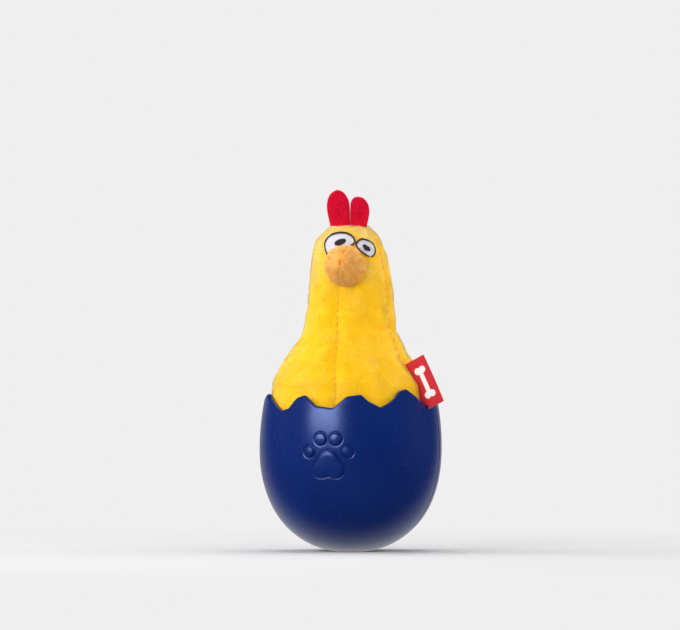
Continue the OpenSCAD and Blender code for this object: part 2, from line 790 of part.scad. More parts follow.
module big_eye_white() {
    color(thread_white) difference() {
        eye_patch(big_eye_azimuth, big_eye_drop, big_eye_edge(-eye_line_w),
            embroidery_lift, white_high);
        beak_clearance();
    }
}
module big_eye_outline() {
    color(thread_black) difference() {
        eye_band(big_eye_azimuth, big_eye_drop, big_eye_edge(-eye_line_w),
            big_eye_edge(eye_line_w), embroidery_lift, line_high);
        beak_clearance();
    }
}
module big_eye_pupil() {
    color(thread_black) difference() {
        eye_patch(big_eye_azimuth, big_eye_drop, tilted_oval(pupil_w, pupil_h, pupil_tilt),
            pupil_low, pupil_high, pupil_shift);
        beak_clearance();
    }
}
module small_eye_white() {
    color(thread_white) difference() {
        eye_patch(small_eye_azimuth, small_eye_drop, small_eye_edge(-eye_line_w),
            embroidery_lift, white_high);
        beak_clearance();
        big_eye_clearance();
    }
}
module small_eye_outline() {
    color(thread_black) difference() {
        eye_band(small_eye_azimuth, small_eye_drop, small_eye_edge(-eye_line_w),
            small_eye_edge(eye_line_w), embroidery_lift, line_high);
        beak_clearance();
        big_eye_clearance();
    }
}
module small_eye_pupil() {
    color(thread_black)
        eye_patch(small_eye_azimuth, small_eye_drop,
            tilted_oval(small_pupil_w, small_pupil_h, small_pupil_tilt),
            pupil_low, pupil_high, small_pupil_shift);
}

module side_label() {
    color(ribbon_red) difference() {
        label_blade(label_t, 0);
        // The space between the two layers, open except at the outer fold
        intersection() {
            label_blade(label_gap, 2 * label_slot_gap);
            rotate([0, 0, side_seam - 90]) rotate([90, 0, 0])
                translate([label_top_corner[0], label_top_corner[1], -label_t])
                    rotate([0, 0, -label_fall])
                        translate([-label_l, -egg_r])
                            cube([3 * label_l, egg_r + label_w - label_fold, 2 * label_t]);
        }
    }
}

function seam_azimuth(azimuth, z) = azimuth == 0 ? front_seam_azimuth(z) : azimuth;

// One row of stitches up a seam, leaving out the heights inside skip
module stitch_row(azimuth, from_z, to_z, skip = [0, 0]) {
    color(thread_yellow)
        for (i = [0 : floor((to_z - from_z - stitch_l) / stitch_pitch)])
            let (
                z = from_z + i * stitch_pitch,
                a = skin_at(seam_azimuth(azimuth, z), z, stitch_lift),
                b = skin_at(seam_azimuth(azimuth, z + stitch_l), z + stitch_l, stitch_lift),
                run = b - a,
                lean = acos(run[2] / norm(run))
            )
            if (z + stitch_l < skip[0] || z > skip[1])
                translate(a) rotate([0, lean, atan2(run[1], run[0])])
                    cylinder(h = norm(run), d = thread_d, $fn = 24);
}
module seam_thread_front() { stitch_row(0, front_stitch_low, front_stitch_top); }
module seam_thread_back() { stitch_row(180, side_stitch_low, side_stitch_top); }
module seam_thread_left() { stitch_row(-side_seam, side_stitch_low, side_stitch_top); }
module seam_thread_right() {
    stitch_row(side_seam, side_stitch_low, side_stitch_top,
        [label_low_z - label_stitch_clear, label_top_z + label_stitch_clear]);
}

egg_cup();
counterweight();
weight_cap();
plush_base_disc();
plush_front_left();
plush_front_right();
plush_back_left();
plush_back_right();
fibre_filling();
squeaker_bulb();
squeaker_whistle();
squeaker_reed();
comb_large_lobe();
comb_small_lobe();
beak_left_panel();
beak_right_panel();
beak_filling();
big_eye_white();
big_eye_outline();
big_eye_pupil();
small_eye_white();
small_eye_outline();
small_eye_pupil();
side_label();
seam_thread_front();
seam_thread_back();
seam_thread_left();
seam_thread_right();
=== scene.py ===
import math

import bpy
import numpy as np
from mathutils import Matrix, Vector


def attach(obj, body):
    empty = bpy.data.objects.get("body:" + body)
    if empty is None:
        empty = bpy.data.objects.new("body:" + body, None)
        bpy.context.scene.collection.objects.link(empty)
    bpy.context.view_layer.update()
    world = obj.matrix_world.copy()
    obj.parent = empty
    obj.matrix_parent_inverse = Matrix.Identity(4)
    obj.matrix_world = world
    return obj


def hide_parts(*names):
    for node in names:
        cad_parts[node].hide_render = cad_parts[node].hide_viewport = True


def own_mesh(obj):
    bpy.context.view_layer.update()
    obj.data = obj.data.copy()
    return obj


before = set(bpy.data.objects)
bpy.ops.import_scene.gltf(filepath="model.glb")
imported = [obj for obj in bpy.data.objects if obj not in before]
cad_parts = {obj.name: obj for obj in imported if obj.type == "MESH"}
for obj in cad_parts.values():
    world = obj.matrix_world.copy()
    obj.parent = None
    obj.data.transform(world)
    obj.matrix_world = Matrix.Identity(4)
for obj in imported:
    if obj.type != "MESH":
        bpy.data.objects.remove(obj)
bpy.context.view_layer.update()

# All sizes below are in millimetres and all azimuths in degrees from the toy's front (-Y)
# towards +X, as in the construction. Meshes are turned into metres when they are made.
MM = 0.001
TOY_BODY = "toy"

# Egg cup
EGG_R = 35.0
BELLY_Z = 39.5
FLAT_R = 6.8
BOWL_FULLNESS = 2.2
RIM_DRAW = 2.8
NOTCH_Z = 54.0
PETAL_H = 8.4
RIM_TOP_Z = NOTCH_Z + PETAL_H
CUP_WALL = 3.0
RIM_WALL = 1.6
BASE_WALL = 3.5
RIM_OUTLINE = [
    (-62.5, 0.77), (-38.5, 0), (-30.5, 0.13), (-27.5, 0.38), (-24.5, 0.61), (-18.5, 0.73),
    (-9.5, 0.25), (2.5, 0.14), (11.5, 0.67), (21.5, 0.76), (25.5, 0.48), (34.5, 0.17),
    (41.5, 0.4), (46.5, 0.63), (49.5, 0.88), (56, 1), (75, 0.2), (91, 0.74),
    (112, 0.11), (131, 0.82), (150, 0.17), (169, 0.71), (190, 0.05), (208, 0.86),
    (228, 0.19), (247, 0.76), (268, 0.12),
]
# Degrees to either side over which the rim's corners are rounded
RIM_ROUNDING = 1.32
PAW_W = 20.0
PAW_Z = 36.7
PAW_PROUD = 0.8

# Plush body
HEM_Z = 23.5
CROWN_Z = 123.6
# The plush is modelled finely from just below the cup's notches, and piled from a little higher
FINE_FROM_Z = 48.0
PILE_FROM_Z = 51.0
HEAD_R = 15.15
PLUSH_T = 1.5
CHEST_BULGE = 1.7
HEAD_LEAN = 0.9
LEAN_AZIMUTH = -40
FIT_GAP = 0.3
# Share of the height above the rim, of the way from the head's radius to the mouth's, of the bulge
CHEST_STATIONS = [
    (0.054, 0.93, 0.35), (0.159, 0.665, 0.94), (0.219, 0.51, 1), (0.265, 0.39, 0.7),
    (0.308, 0.3, 0.5), (0.372, 0.195, 0.35), (0.446, 0.135, 0.1), (0.521, 0.09, 0),
    (0.657, 0.045, 0),
]
# Share of the height above the rim, of the head's radius, of the lean
HEAD_STATIONS = [
    (0.745, 1, 0.13), (0.823, 0.94, 0.4), (0.914, 0.81, 0.87), (0.963, 0.63, 0.93),
    (0.993, 0.4, 1), (1, 0.055, 1),
]

# Seams: the side seams' azimuth, and the front one's at shares of the height above the rim
SIDE_SEAM = 76
FRONT_SEAM = [(-0.13, 3), (0.2, 3.5), (0.34, 0), (0.45, -4.5), (0.63, -3), (1, 0)]
SEAM_DIP = 0.7
SEAM_W = 2.2
GROOVE_W = 0.5
FRONT_GROOVE = 0.4
OTHER_GROOVE = 0.08
STITCH_L = 1.5
STITCH_PITCH = 2.8

# Face
BEAK_R = 7.9
BEAK_DROP = 14.2
BEAK_AZIMUTH = 6.5
BEAK_OUT = 1.0
BEAK_YAW = -10
BEAK_ROLL = 12
CREASE_D, CREASE_W = 0.5, 0.6
DIMPLES = (0.2, -0.95)
DIMPLE_D, DIMPLE_W, DIMPLE_ARC = 1.0, 0.8, 0.16
EYE_LINE_W = 0.7
# The toy's front is turned to the viewer's left, so the camera stands round to its right
CAMERA_AZIMUTH = 14.5
# The plush stands up round the comb: how much, and the half width and depth of that oval
TUFT_H = 1.0
TUFT_W = 12.4
TUFT_D = 7.6
TUFT_SHIFT = 2.6
# It stands higher still at the outer foot of the small lobe
FOOT_H = 1.15
FOOT_AT = 5.8
FOOT_W = 3.2
# The pile is brushed out on the toy's right cheek: where, how wide and how much, low and high up
CHEEK_AZIMUTH = -88
CHEEK_WIDTH = 32
CHEEK_OUT = 0.7
CHEEK_TOP_OUT = 0.8

# Squeaker bulb and the disc under the plush
BULB_R = 18.0
BULB_H = 22.0
BULB_LOW_Z = 57.0
BULB_MID_Z = BULB_LOW_Z + BULB_H / 2
DISC_Z = 22.0
DISC_T = 1.4


# Numbers, vectors and grids

def smoothstep(low, high, x):
    t = np.clip((np.asarray(x, float) - low) / (high - low), 0, 1)
    return t * t * (3 - 2 * t)


def bell(x, width):
    return np.exp(-(x / width) ** 2)


def around(azimuth, r, z):
    a = np.radians(azimuth)
    x, y, z = np.broadcast_arrays(r * np.sin(a), -r * np.cos(a), z)
    return np.stack([x, y, z], -1)


def unit(v):
    return v / np.maximum(np.linalg.norm(v, axis=-1, keepdims=True), 1e-9)


def half_turn(azimuth):
    """The same azimuth, from -180 to 180 degrees."""
    return (np.asarray(azimuth) + 540) % 360 - 180


def full_turn(count):
    return np.linspace(-180, 180, count + 1)[:-1]


def level_axes(azimuth):
    """Level unit vectors at an azimuth: sideways, and away from the toy's axis."""
    a = math.radians(azimuth)
    return np.array([math.cos(a), math.sin(a), 0]), np.array([math.sin(a), -math.cos(a), 0])


def sideways(directions):
    """A unit vector at right angles to each direction."""
    helper = np.where(np.abs(directions[..., 2:]) < 0.9, [0.0, 0.0, 1.0], [1.0, 0.0, 0.0])
    return unit(np.cross(directions, helper))


def run_along(points):
    """The distance from the first point along the line to each of its points."""
    return np.concatenate([[0], np.cumsum(np.linalg.norm(np.diff(points, axis=0), axis=1))])


def between(places, at, table):
    """The rows of a table, read at places between them."""
    return np.stack([np.interp(places, at, column) for column in table.T], -1)


class Lumps:
    """Smooth noise in space, from -1 to 1 or so, with features of about one wavelength."""

    def __init__(self, seed, wavelength):
        rng, count = np.random.default_rng(seed), 14
        self.waves = unit(rng.normal(size=(count, 3)))
        self.waves *= 2 * math.pi / (wavelength * rng.uniform(0.7, 1.5, (count, 1)))
        self.phases = rng.uniform(0, 2 * math.pi, count)

    def __call__(self, p):
        return np.sin(p @ self.waves.T + self.phases).sum(-1) / math.sqrt(len(self.phases))


def spread(count, seed):
    """Evenly scattered pairs in the unit square, from an additive sequence."""
    golden = 1.32471795724474602596
    rng = np.random.default_rng(seed)
    k = np.arange(1, count + 1)[:, None]
    pairs = (rng.uniform(size=2) + k / np.array([golden, golden ** 2])) % 1
    return pairs, rng


def catmull_rom(points, per_span):
    p = np.array(points, float)
    padded = np.vstack([p[:1], p, p[-1:]])
    t = np.linspace(0, 1, per_span, endpoint=False)[:, None]
    rows = []
    for i in range(len(p) - 1):
        a, b, c, d = padded[i:i + 4]
        rows.append((2 * b + (c - a) * t + (2 * a - 5 * b + 4 * c - d) * t ** 2
                     + (3 * b - a - 3 * c + d) * t ** 3) / 2)
    return np.vstack(rows + [p[-1:]])


def grid_faces(rows, cols, start=0, wrap=False):
    i = np.arange(rows - 1)[:, None] * cols
    j = np.arange(cols if wrap else cols - 1)[None, :]
    a, b = i + j, i + (j + 1) % cols
    return np.stack([a, b, b + cols, a + cols], -1).reshape(-1, 4) + start


def closed_rows(rows, ends=None, flipped=False):
    """Points and faces of a stack of rings, closed by a fan to an end point on either side."""
    count, cols = rows.shape[:2]
    points = np.vstack([rows.reshape(-1, 3), ends or [rows[0].mean(0), rows[-1].mean(0)]])
    j = np.arange(cols)
    fan = np.stack([(j + 1) % cols, j, np.full(cols, count * cols)], -1)
    cap = np.stack([j, (j + 1) % cols, np.full(cols, count * cols + 1)], -1)
    cap[:, :2] += (count - 1) * cols
    groups = [grid_faces(count, cols, wrap=True), fan, cap]
    return points, [f[:, ::-1] for f in groups] if flipped else groups


def repeated(faces, count, stride):
    """The same faces for each of a number of alike forms, with stride points apiece."""
    faces = np.asarray(faces)
    return (faces + stride * np.arange(count)[:, None, None]).reshape(-1, faces.shape[1])


def slab(outer, inner):
    """A closed sheet between two grids of points, with the outer one facing out."""
    rows, cols = outer.shape[:2]
    n = rows * cols
    points = np.vstack([outer.reshape(-1, 3), inner.reshape(-1, 3)])
    low, left = np.arange(cols - 1), np.arange(rows - 1) * cols
    top, right = low + (rows - 1) * cols, left + cols - 1
    faces = np.vstack([
        grid_faces(rows, cols),
        grid_faces(rows, cols, n)[:, ::-1],
        np.stack([low + 1, low, low + n, low + 1 + n], -1),
        np.stack([top, top + 1, top + 1 + n, top + n], -1),
        np.stack([left, left + cols, left + cols + n, left + n], -1),
        np.stack([right + cols, right, right + n, right + cols + n], -1),
    ])
    return points, faces


def tubes(paths, radii, sides):
    """Closed tubes along paths (count, steps, 3), with radii of each step; both ends are capped."""
    count, steps = paths.shape[:2]
    run = unit(np.gradient(paths, axis=1))
    side = sideways(run)
    up = np.cross(side, run)
    angle = 2 * math.pi * np.arange(sides) / sides
    rim = np.cos(angle)[:, None] * side[..., None, :] + np.sin(angle)[:, None] * up[..., None, :]
    rings = paths[..., None, :] + rim * np.broadcast_to(radii, (count, steps))[..., None, None]
    points = np.concatenate([rings.reshape(count, -1, 3), paths[:, :1], paths[:, -1:]], 1)
    body = grid_faces(steps, sides, wrap=True)[:, ::-1]
    j = np.arange(sides)
    ends = np.vstack([
        np.stack([j, (j + 1) % sides, np.full(sides, steps * sides)], -1),
        np.stack([(j + 1) % sides, j, np.full(sides, steps * sides + 2)], -1),
    ])
    ends[sides:, :2] += (steps - 1) * sides
    ends[sides:, 2] = steps * sides + 1
    each = points.shape[1]
    return points.reshape(-1, 3), [repeated(body, count, each), repeated(ends, count, each)]


# Meshes and materials

def in_scene(name, data):
    item = bpy.data.objects.new(name, data)
    bpy.context.scene.collection.objects.link(item)
    return item


def make_piece(name, points, face_groups, material, node, normals=None, marks=None,
               second_material=None, material_of_face=None):
    """A piece that replaces a node, from points in millimetres and arrays of faces."""
    mesh = bpy.data.meshes.new(name)
    corners = np.concatenate([np.asarray(f).reshape(-1) for f in face_groups])
    sizes = np.concatenate([np.full(len(f), np.asarray(f).shape[1]) for f in face_groups])
    starts = np.concatenate([[0], np.cumsum(sizes)[:-1]])
    mesh.vertices.add(len(points))
    mesh.vertices.foreach_set("co", (np.asarray(points) * MM).astype(np.float32).ravel())
    mesh.loops.add(len(corners))
    mesh.loops.foreach_set("vertex_index", corners.astype(np.int32))
    mesh.polygons.add(len(sizes))
    mesh.polygons.foreach_set("loop_start", starts.astype(np.int32))
    mesh.update(calc_edges=True)
    mesh.polygons.foreach_set("use_smooth", np.ones(len(sizes), bool))
    for mark, values in (marks or {}).items():
        layer = mesh.attributes.new(mark, "FLOAT", "POINT")
        layer.data.foreach_set("value", np.asarray(values, np.float32))
    if normals is not None:
        mesh.normals_split_custom_set_from_vertices(unit(normals))
    mesh.materials.append(material)
    if second_material:
        mesh.materials.append(second_material)
        mesh.polygons.foreach_set("material_index", material_of_face.astype(np.int32))
    piece = in_scene(name, mesh)
    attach(piece, TOY_BODY)
    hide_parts(node)
    return piece


def soft(piece):
    """Gives the piece a mesh of its own."""
    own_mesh(piece)


def srgb(text):
    channels = [int(text[i:i + 2], 16) / 255 for i in (1, 3, 5)]
    linear = [c / 12.92 if c <= 0.04045 else ((c + 0.055) / 1.055) ** 2.4 for c in channels]
    return (*linear, 1.0)


class Tree:
    """The nodes of a material or of the world, with short calls that add to them."""

    def __init__(self, owner):
        owner.use_nodes = True
        self.nodes, self.links = owner.node_tree.nodes, owner.node_tree.links

    def link(self, source, target):
        self.links.new(source, target)

    def node(self, kind, *sources, operation=None, **values):
        """A node with its first inputs linked to the sources and others set by their names."""
        node = self.nodes.new("ShaderNode" + kind)
        if operation:
            node.operation = operation
        for place, source in enumerate(sources):
            self.link(source, node.inputs[place])
        for socket, value in values.items():
            node.inputs[socket.replace("_", " ")].default_value = value
        return node

    def spread_over(self, source, from_low, from_high, to_low, to_high):
        return self.node("MapRange", source, From_Min=from_low, From_Max=from_high,
                         To_Min=to_low, To_Max=to_high).outputs["Result"]

    def seen_by_camera(self):
        return self.node("LightPath").outputs["Is Camera Ray"]


class Finish(Tree):
    """A material with one Principled shader."""

    def __init__(self, name, roughness=0.5, **sockets):
        self.material = bpy.data.materials.new(name)
        super().__init__(self.material)
        self.shader = self.nodes["Principled BSDF"]
        self.shader.inputs["Roughness"].default_value = roughness
        for socket, value in sockets.items():
            value = srgb(value) if isinstance(value, str) else value
            self.shader.inputs[socket.replace("_", " ")].default_value = value
        self.place = self.node("TexCoord").outputs["Object"]

    def noise(self, scale, detail=3.0, distortion=0.0):
        return self.node("TexNoise", self.place, Scale=scale, Detail=detail,
                         Distortion=distortion).outputs["Fac"]

    def mark(self, name):
        """A value that the mesh carries at each of its points."""
        node = self.node("Attribute")
        node.attribute_name = name
        return node.outputs["Fac"]

    def add(self, first, second):
        return self.node("Math", first, second).outputs[0]

    def mix(self, factor, low, high):
        """A colour between two, each given as a hex text or as another node's output."""
        node = self.node("Mix", factor)
        node.data_type = "RGBA"
        for socket, value in ((node.inputs[6], low), (node.inputs[7], high)):
            if isinstance(value, str):
                socket.default_value = srgb(value)
            else:
                self.link(value, socket)
        return node.outputs[2]

    def tone(self, source, low, high, reach=0.15, top=1):
        """A colour that swings between two where a noise is within reach of its middle."""
        return self.mix(self.spread_over(source, 0.5 - reach, 0.5 + reach, 0, top), low, high)

    def colour(self, source):
        self.link(source, self.shader.inputs["Base Color"])

    def bump(self, source, strength, distance):
        node = self.node("Bump", Strength=strength, Distance=distance * MM)
        self.link(source, node.inputs["Height"])
        self.link(node.outputs["Normal"], self.shader.inputs["Normal"])


def cup_rubber():
    f = Finish("cup_rubber", Specular_IOR_Level=0.76, Specular_Tint="#b0c4ff")
    f.colour(f.tone(f.noise(45, 4), "#021c5b", "#021f60"))
    f.link(f.spread_over(f.noise(130, 5), 0.3, 0.7, 0.26, 0.29), f.shader.inputs["Roughness"])
    f.bump(f.noise(900, 4), 0.05, 0.05)
    return f.material


def plush(name, root, low, high, painted_sheen_and_brushing, sheen, sheen_weight, patch_scale):
    """Short pile: darker at the root, with a tone for each tuft, lighter patches, and a marked pale
    colour for painted sheen and for brushing.
    """
    f = Finish(name, 0.9, Sheen_Weight=sheen_weight, Sheen_Roughness=0.35, Sheen_Tint=sheen,
               Specular_IOR_Level=0.1, Subsurface_Weight=0.1, Subsurface_Scale=0.6 * MM,
               Subsurface_Radius=(1.0, 0.6, 0.25))
    patches = f.spread_over(f.noise(patch_scale, 3), 0.38, 0.62, 0, 0.5)
    tone = f.add(patches, f.spread_over(f.mark("tone"), 0, 1, -0.5, 0.9))
    body = f.mix(f.mark("painted_sheen_and_brushing"), f.mix(tone, low, high), painted_sheen_and_brushing)
    f.colour(f.mix(f.spread_over(f.mark("pile"), 0, 0.6, 0, 1), root, body))
    f.bump(f.noise(1300, 4), 0.5, 0.4)
    return f.material


def felt():
    f = Finish("red_felt", 0.95, Sheen_Weight=0.35, Sheen_Roughness=0.5, Sheen_Tint="#ff5a6a",
               Specular_IOR_Level=0.15)
    fibres = f.noise(1500, 5, 1.6)
    tone = f.tone(fibres, "#98001a", "#e00838", 0.2)
    f.colour(f.tone(f.noise(420, 3), tone, "#bc0226", 0.2, top=0.6))
    f.bump(fibres, 0.7, 0.3)
    return f.material


def thread(name, low, high, roughness=0.5, scale=1800, painted_shade_colour=None):
    """Fine fibres, which turn to a painted shade colour where the piece is marked with painted
    shade.
    """
    f = Finish(name, roughness, Sheen_Weight=0.2, Specular_IOR_Level=0.35)
    tone = f.tone(f.noise(scale, 3), low, high, 0.2)
    f.colour(f.mix(f.mark("painted_shade"), tone, painted_shade_colour) if painted_shade_colour else tone)
    f.bump(f.noise(scale * 2, 3), 0.4, 0.08)
    return f.material


def ribbon(name, low, high):
    f = Finish(name, 0.6, Sheen_Weight=0.3, Specular_IOR_Level=0.3)
    weave = f.noise(2400, 2)
    f.colour(f.tone(weave, low, high, 0.2))
    f.bump(weave, 0.35, 0.1)
    return f.material


def grained(name, low, high, roughness, scale=300, metallic=0.0, finer=6, detail=4,
            grain=(0.2, 0.1)):
    """Moulded plastic or cast metal with a fine grain."""
    f = Finish(name, roughness, Metallic=metallic)
    f.colour(f.mix(f.noise(scale, detail), low, high))
    f.bump(f.noise(scale * finer, detail), *grain)
    return f.material


MATERIALS = {
    "cup": cup_rubber(),
    # The pale colours are painted sheen on the pile, with some paler brushing where the nap turns.
    "yellow": plush("yellow_plush", root="#eea800", low="#ffbc00", high="#ffe03c",
                    painted_sheen_and_brushing="#fff0b4", sheen="#fff0b0", sheen_weight=1.0, patch_scale=260),
    "orange": plush("orange_plush", root="#cc7424", low="#ffa23c", high="#ffd078",
                    painted_sheen_and_brushing="#ffd49a", sheen="#ffd490", sheen_weight=0.42, patch_scale=420),
    "felt": felt(),
    # The eye whites darken to a painted lilac grey shade under their upper edge.
    "white": thread("white_thread", "#c2bec6", "#dcd8de", painted_shade_colour="#9a8ea8"),
    "black": thread("black_thread", "#0e0c0d", "#242022", 0.7),
    "seam": thread("seam_thread", "#dc9412", "#f8bc34"),
    "ribbon": ribbon("red_ribbon", "#b00a1c", "#cc1226"),
    "woven_white": ribbon("ribbon_white", "#e2d8da", "#f4eeee"),
    "backing": ribbon("plush_backing", "#e8ac10", "#f6bc1c"),
    "fibre": thread("fibre_fill", "#e4e1da", "#f8f7f3", 0.9, 600),
    "squeaker": grained("squeaker_plastic", "#dcdcd4", "#ecece6", 0.45),
    "reed": grained("reed_plastic", "#85898f", "#9ca0a6", 0.35),
    "cap": grained("cap_plastic", "#7f838a", "#959aa1", 0.5),
    "iron": grained("weight_iron", "#3f4144", "#6a6d70", 0.6, 400, metallic=0.9, finer=4.5,
                    detail=5, grain=(0.6, 0.3)),
}


# The forms that the pieces share

def bowl_b(base_z, r, flat_r=0.0):
    """Depth of a bowl's curve that has this flat radius where it meets its base."""
    return (BELLY_Z - base_z) / (1 - (flat_r / r) ** BOWL_FULLNESS) ** (1 / BOWL_FULLNESS)


def bowl_radius(z, r, b):
    rise = np.clip((BELLY_Z - z) / b, 0, 1) ** BOWL_FULLNESS
    return r * np.maximum(0, 1 - rise) ** (1 / BOWL_FULLNESS)


UPPER_B = (RIM_TOP_Z - BELLY_Z) / math.sqrt(1 - (1 - RIM_DRAW / EGG_R) ** 2)


def cup_out(z):
    z = np.asarray(z, float)
    upper = EGG_R * np.sqrt(1 - (np.maximum(0, z - BELLY_Z) / UPPER_B) ** 2)
    return np.where(z < BELLY_Z, bowl_radius(z, EGG_R, bowl_b(0, EGG_R, FLAT_R)), upper)


def cup_wall(z):
    rise = (np.asarray(z, float) - BELLY_Z) / (RIM_TOP_Z - BELLY_Z)
    return CUP_WALL + (RIM_WALL - CUP_WALL) * rise


def cup_in(z):
    """The cup's inner radius, with a bowl of its own below the belly."""
    z = np.asarray(z, float)
    lower = bowl_radius(z, EGG_R - CUP_WALL, bowl_b(BASE_WALL, EGG_R - CUP_WALL))
    return np.where(z < BELLY_Z, lower, cup_out(z) - cup_wall(z))


def rim_height(azimuth):
    """Height of the cup's petal rim, with its corners rounded off."""
    stations = np.array(RIM_OUTLINE, float)
    turns = np.vstack([stations + (k * 360, 0) for k in (-1, 0, 1, 2)])
    heights = NOTCH_Z + PETAL_H * turns[:, 1]
    a = (np.asarray(azimuth, float) + 90) % 360 - 90
    reach = np.linspace(-RIM_ROUNDING, RIM_ROUNDING, 9)
    weights = np.cos(np.linspace(-1.4, 1.4, 9))
    samples = [w * np.interp(a + d, turns[:, 0], heights) for d, w in zip(reach, weights)]
    return np.sum(samples, axis=0) / weights.sum()


def share_z(share):
    return RIM_TOP_Z + (CROWN_Z - RIM_TOP_Z) * share


def plush_stations():
    """Radius, height and lean of the plush's profile, which fits the cup below the rim."""
    mouth_r = float(cup_in(RIM_TOP_Z)) - FIT_GAP
    rows = [(float(cup_in(z)) - FIT_GAP, z, 0) for z in np.linspace(HEM_Z, RIM_TOP_Z, 5)]
    rows += [(HEAD_R + (mouth_r - HEAD_R) * w, share_z(s), CHEST_BULGE * b)
             for s, w, b in CHEST_STATIONS]
    rows += [(HEAD_R * w, share_z(s), HEAD_LEAN * b) for s, w, b in HEAD_STATIONS]
    return rows


def with_normals(profile):
    """The profile with its outward normals, the first of which is level."""
    run = np.gradient(profile, axis=0)[:, :2]
    normal = unit(np.stack([run[:, 1], -run[:, 0]], -1))
    normal[0] = (1, 0)
    return np.hstack([profile, normal])


PROFILE = with_normals(catmull_rom(plush_stations(), 16))
PROFILE_RUN = run_along(PROFILE[:, :2])
LEAN = around(LEAN_AZIMUTH, 1.0, 0.0)
BEAK_Z = CROWN_Z - BEAK_DROP
SOFT_LUMPS, SOFT_LUMP_H = Lumps(3, 13), 0.14
SMALL_LUMPS, SMALL_LUMP_H = Lumps(4, 5), 0.06

# The stuffing's swell: a grid of heights and the height of each row, once the cloth has run.
# The cloth is simulated ten times as large as the toy, which suits the solver's tolerances.
SWELL = []
SWELL_TYPICAL = 0.38
SWELL_MOST = 0.9
CLOTH_STEP = 4
CLOTH_ROWS = 64
CLOTH_SCALE = 10
CLOTH_FRAMES = 20


def ring_by_run(run):
    """Radius, height, lean and normal of the plush's profile at a distance along it."""
    return between(run, PROFILE_RUN, PROFILE)


def ring_grid(runs, cols):
    """The rings at these distances along the profile, repeated in every column of a grid."""
    return ring_by_run(runs)[:, None, :] + np.zeros((1, cols, 1))


def ring_by_z(z):
    return between(z, PROFILE[:, 1], PROFILE)


def run_of(z):
    return np.interp(z, PROFILE[:, 1], PROFILE_RUN)


def front_seam(z):
    shares, azimuths = zip(*FRONT_SEAM)
    return np.interp((np.asarray(z) - RIM_TOP_Z) / (CROWN_Z - RIM_TOP_Z), shares, azimuths)


def seams_at(z):
    return (front_seam(z), SIDE_SEAM, 180, -SIDE_SEAM)


def with_seam(azimuth, z):
    """Turns the front panels' azimuths so that they follow the front seam."""
    return azimuth + front_seam(z) * np.maximum(0, 1 - np.abs(azimuth) / SIDE_SEAM)


def seam_distance(azimuth, r, seam):
    return np.abs(half_turn(np.asarray(azimuth) - seam)) * np.asarray(r) * math.pi / 180


def seam_pull(azimuth, ring):
    """How far the skin is drawn in: a broad dip, and a narrow puckered groove below the face."""
    r, z = ring[..., 0], ring[..., 1]
    total = np.zeros(np.broadcast(azimuth, r).shape)
    for k, seam in enumerate(seams_at(z)):
        d = seam_distance(azimuth, r, seam)
        shown = 1 - smoothstep(BEAK_Z - 2, BEAK_Z + 4, z) if k == 0 else 1.0
        pucker = 0.75 + 0.25 * np.cos(2 * math.pi * z / STITCH_PITCH)
        depth = FRONT_GROOVE if k == 0 else OTHER_GROOVE
        groove = depth * pucker * bell(d, GROOVE_W)
        total = np.maximum(total, shown * (SEAM_DIP * bell(d, SEAM_W) + groove))
    return total


def tuft(azimuth, r, z):
    """How much the plush stands up round the comb, in an oval as wide as the comb."""
    turn = np.radians(azimuth - CAMERA_AZIMUTH)
    lateral, depth = r * np.sin(turn), r * np.cos(turn)
    reach = np.hypot((lateral - TUFT_SHIFT) / TUFT_W, depth / TUFT_D)
    height = TUFT_H + FOOT_H * bell(lateral - FOOT_AT, FOOT_W)
    return height * (1 - smoothstep(0.6, 1.1, reach)) * (z > CROWN_Z - HEAD_R)


def cheek(azimuth, r, z):
    """How far the pile is brushed out on one side of the head."""
    turn = half_turn(np.asarray(azimuth) - CHEEK_AZIMUTH)
    out = (CHEEK_OUT * smoothstep(CROWN_Z - 42, CROWN_Z - 28, z)
           + CHEEK_TOP_OUT * smoothstep(CROWN_Z - 14, CROWN_Z - 6, z))
    return out * bell(turn, CHEEK_WIDTH) * smoothstep(1, 7, r)


def swell(azimuth, z):
    """How far the stuffing pushes the plush out, from the simulated cloth."""
    if not SWELL:
        return 0.0
    grid, heights = SWELL
    azimuth = np.asarray(azimuth)
    flat = 2 * azimuth - with_seam(half_turn(azimuth), z)
    flat = flat + 360 * np.round((azimuth - flat) / 360)
    column = (flat + SIDE_SEAM) / CLOTH_STEP
    row = np.interp(z, heights, np.arange(len(heights)))
    j, i = np.floor(column).astype(int), np.clip(np.floor(row).astype(int), 0, len(heights) - 2)
    u, v, cols = column - j, row - i, grid.shape[1]
    low = grid[i, j % cols] * (1 - u) + grid[i, (j + 1) % cols] * u
    high = grid[i + 1, j % cols] * (1 - u) + grid[i + 1, (j + 1) % cols] * u
    return low * (1 - v) + high * v


def skin(azimuth, ring, out=0.0, lumps=True):
    """Points on the plush at the given azimuths and rings, at a height above its skin."""
    r, z, lean, nr, nz = np.moveaxis(np.asarray(ring), -1, 0)
    d = out - seam_pull(azimuth, ring)
    if lumps:
        d = d + cheek(azimuth, r, z)
        rough = around(azimuth, r, z)
        fade = smoothstep(RIM_TOP_Z - 6, RIM_TOP_Z + 8, z)
        d = d + fade * (SOFT_LUMP_H * SOFT_LUMPS(rough) + SMALL_LUMP_H * SMALL_LUMPS(rough)
                        + swell(azimuth, z))
    upright = around(azimuth, np.maximum(0.1, r + d * nr), z + d * nz + tuft(azimuth, r, z))
    return upright + lean[..., None] * LEAN


def skin_frame(azimuth, ring):
    """The skin's outward normal and its downward direction, by differences over a step."""
    step = 0.6
    degrees = np.degrees(step / np.maximum(ring[..., 0], 1))
    across = skin(azimuth + degrees, ring) - skin(azimuth - degrees, ring)
    run = run_of(ring[..., 1])
    above, below = ring_by_run(run + step), ring_by_run(run - step)
    up = skin(azimuth, above) - skin(azimuth, below)
    return unit(np.cross(across, up)), unit(-up)


# Fibres: tiny closed forms of four triangles each

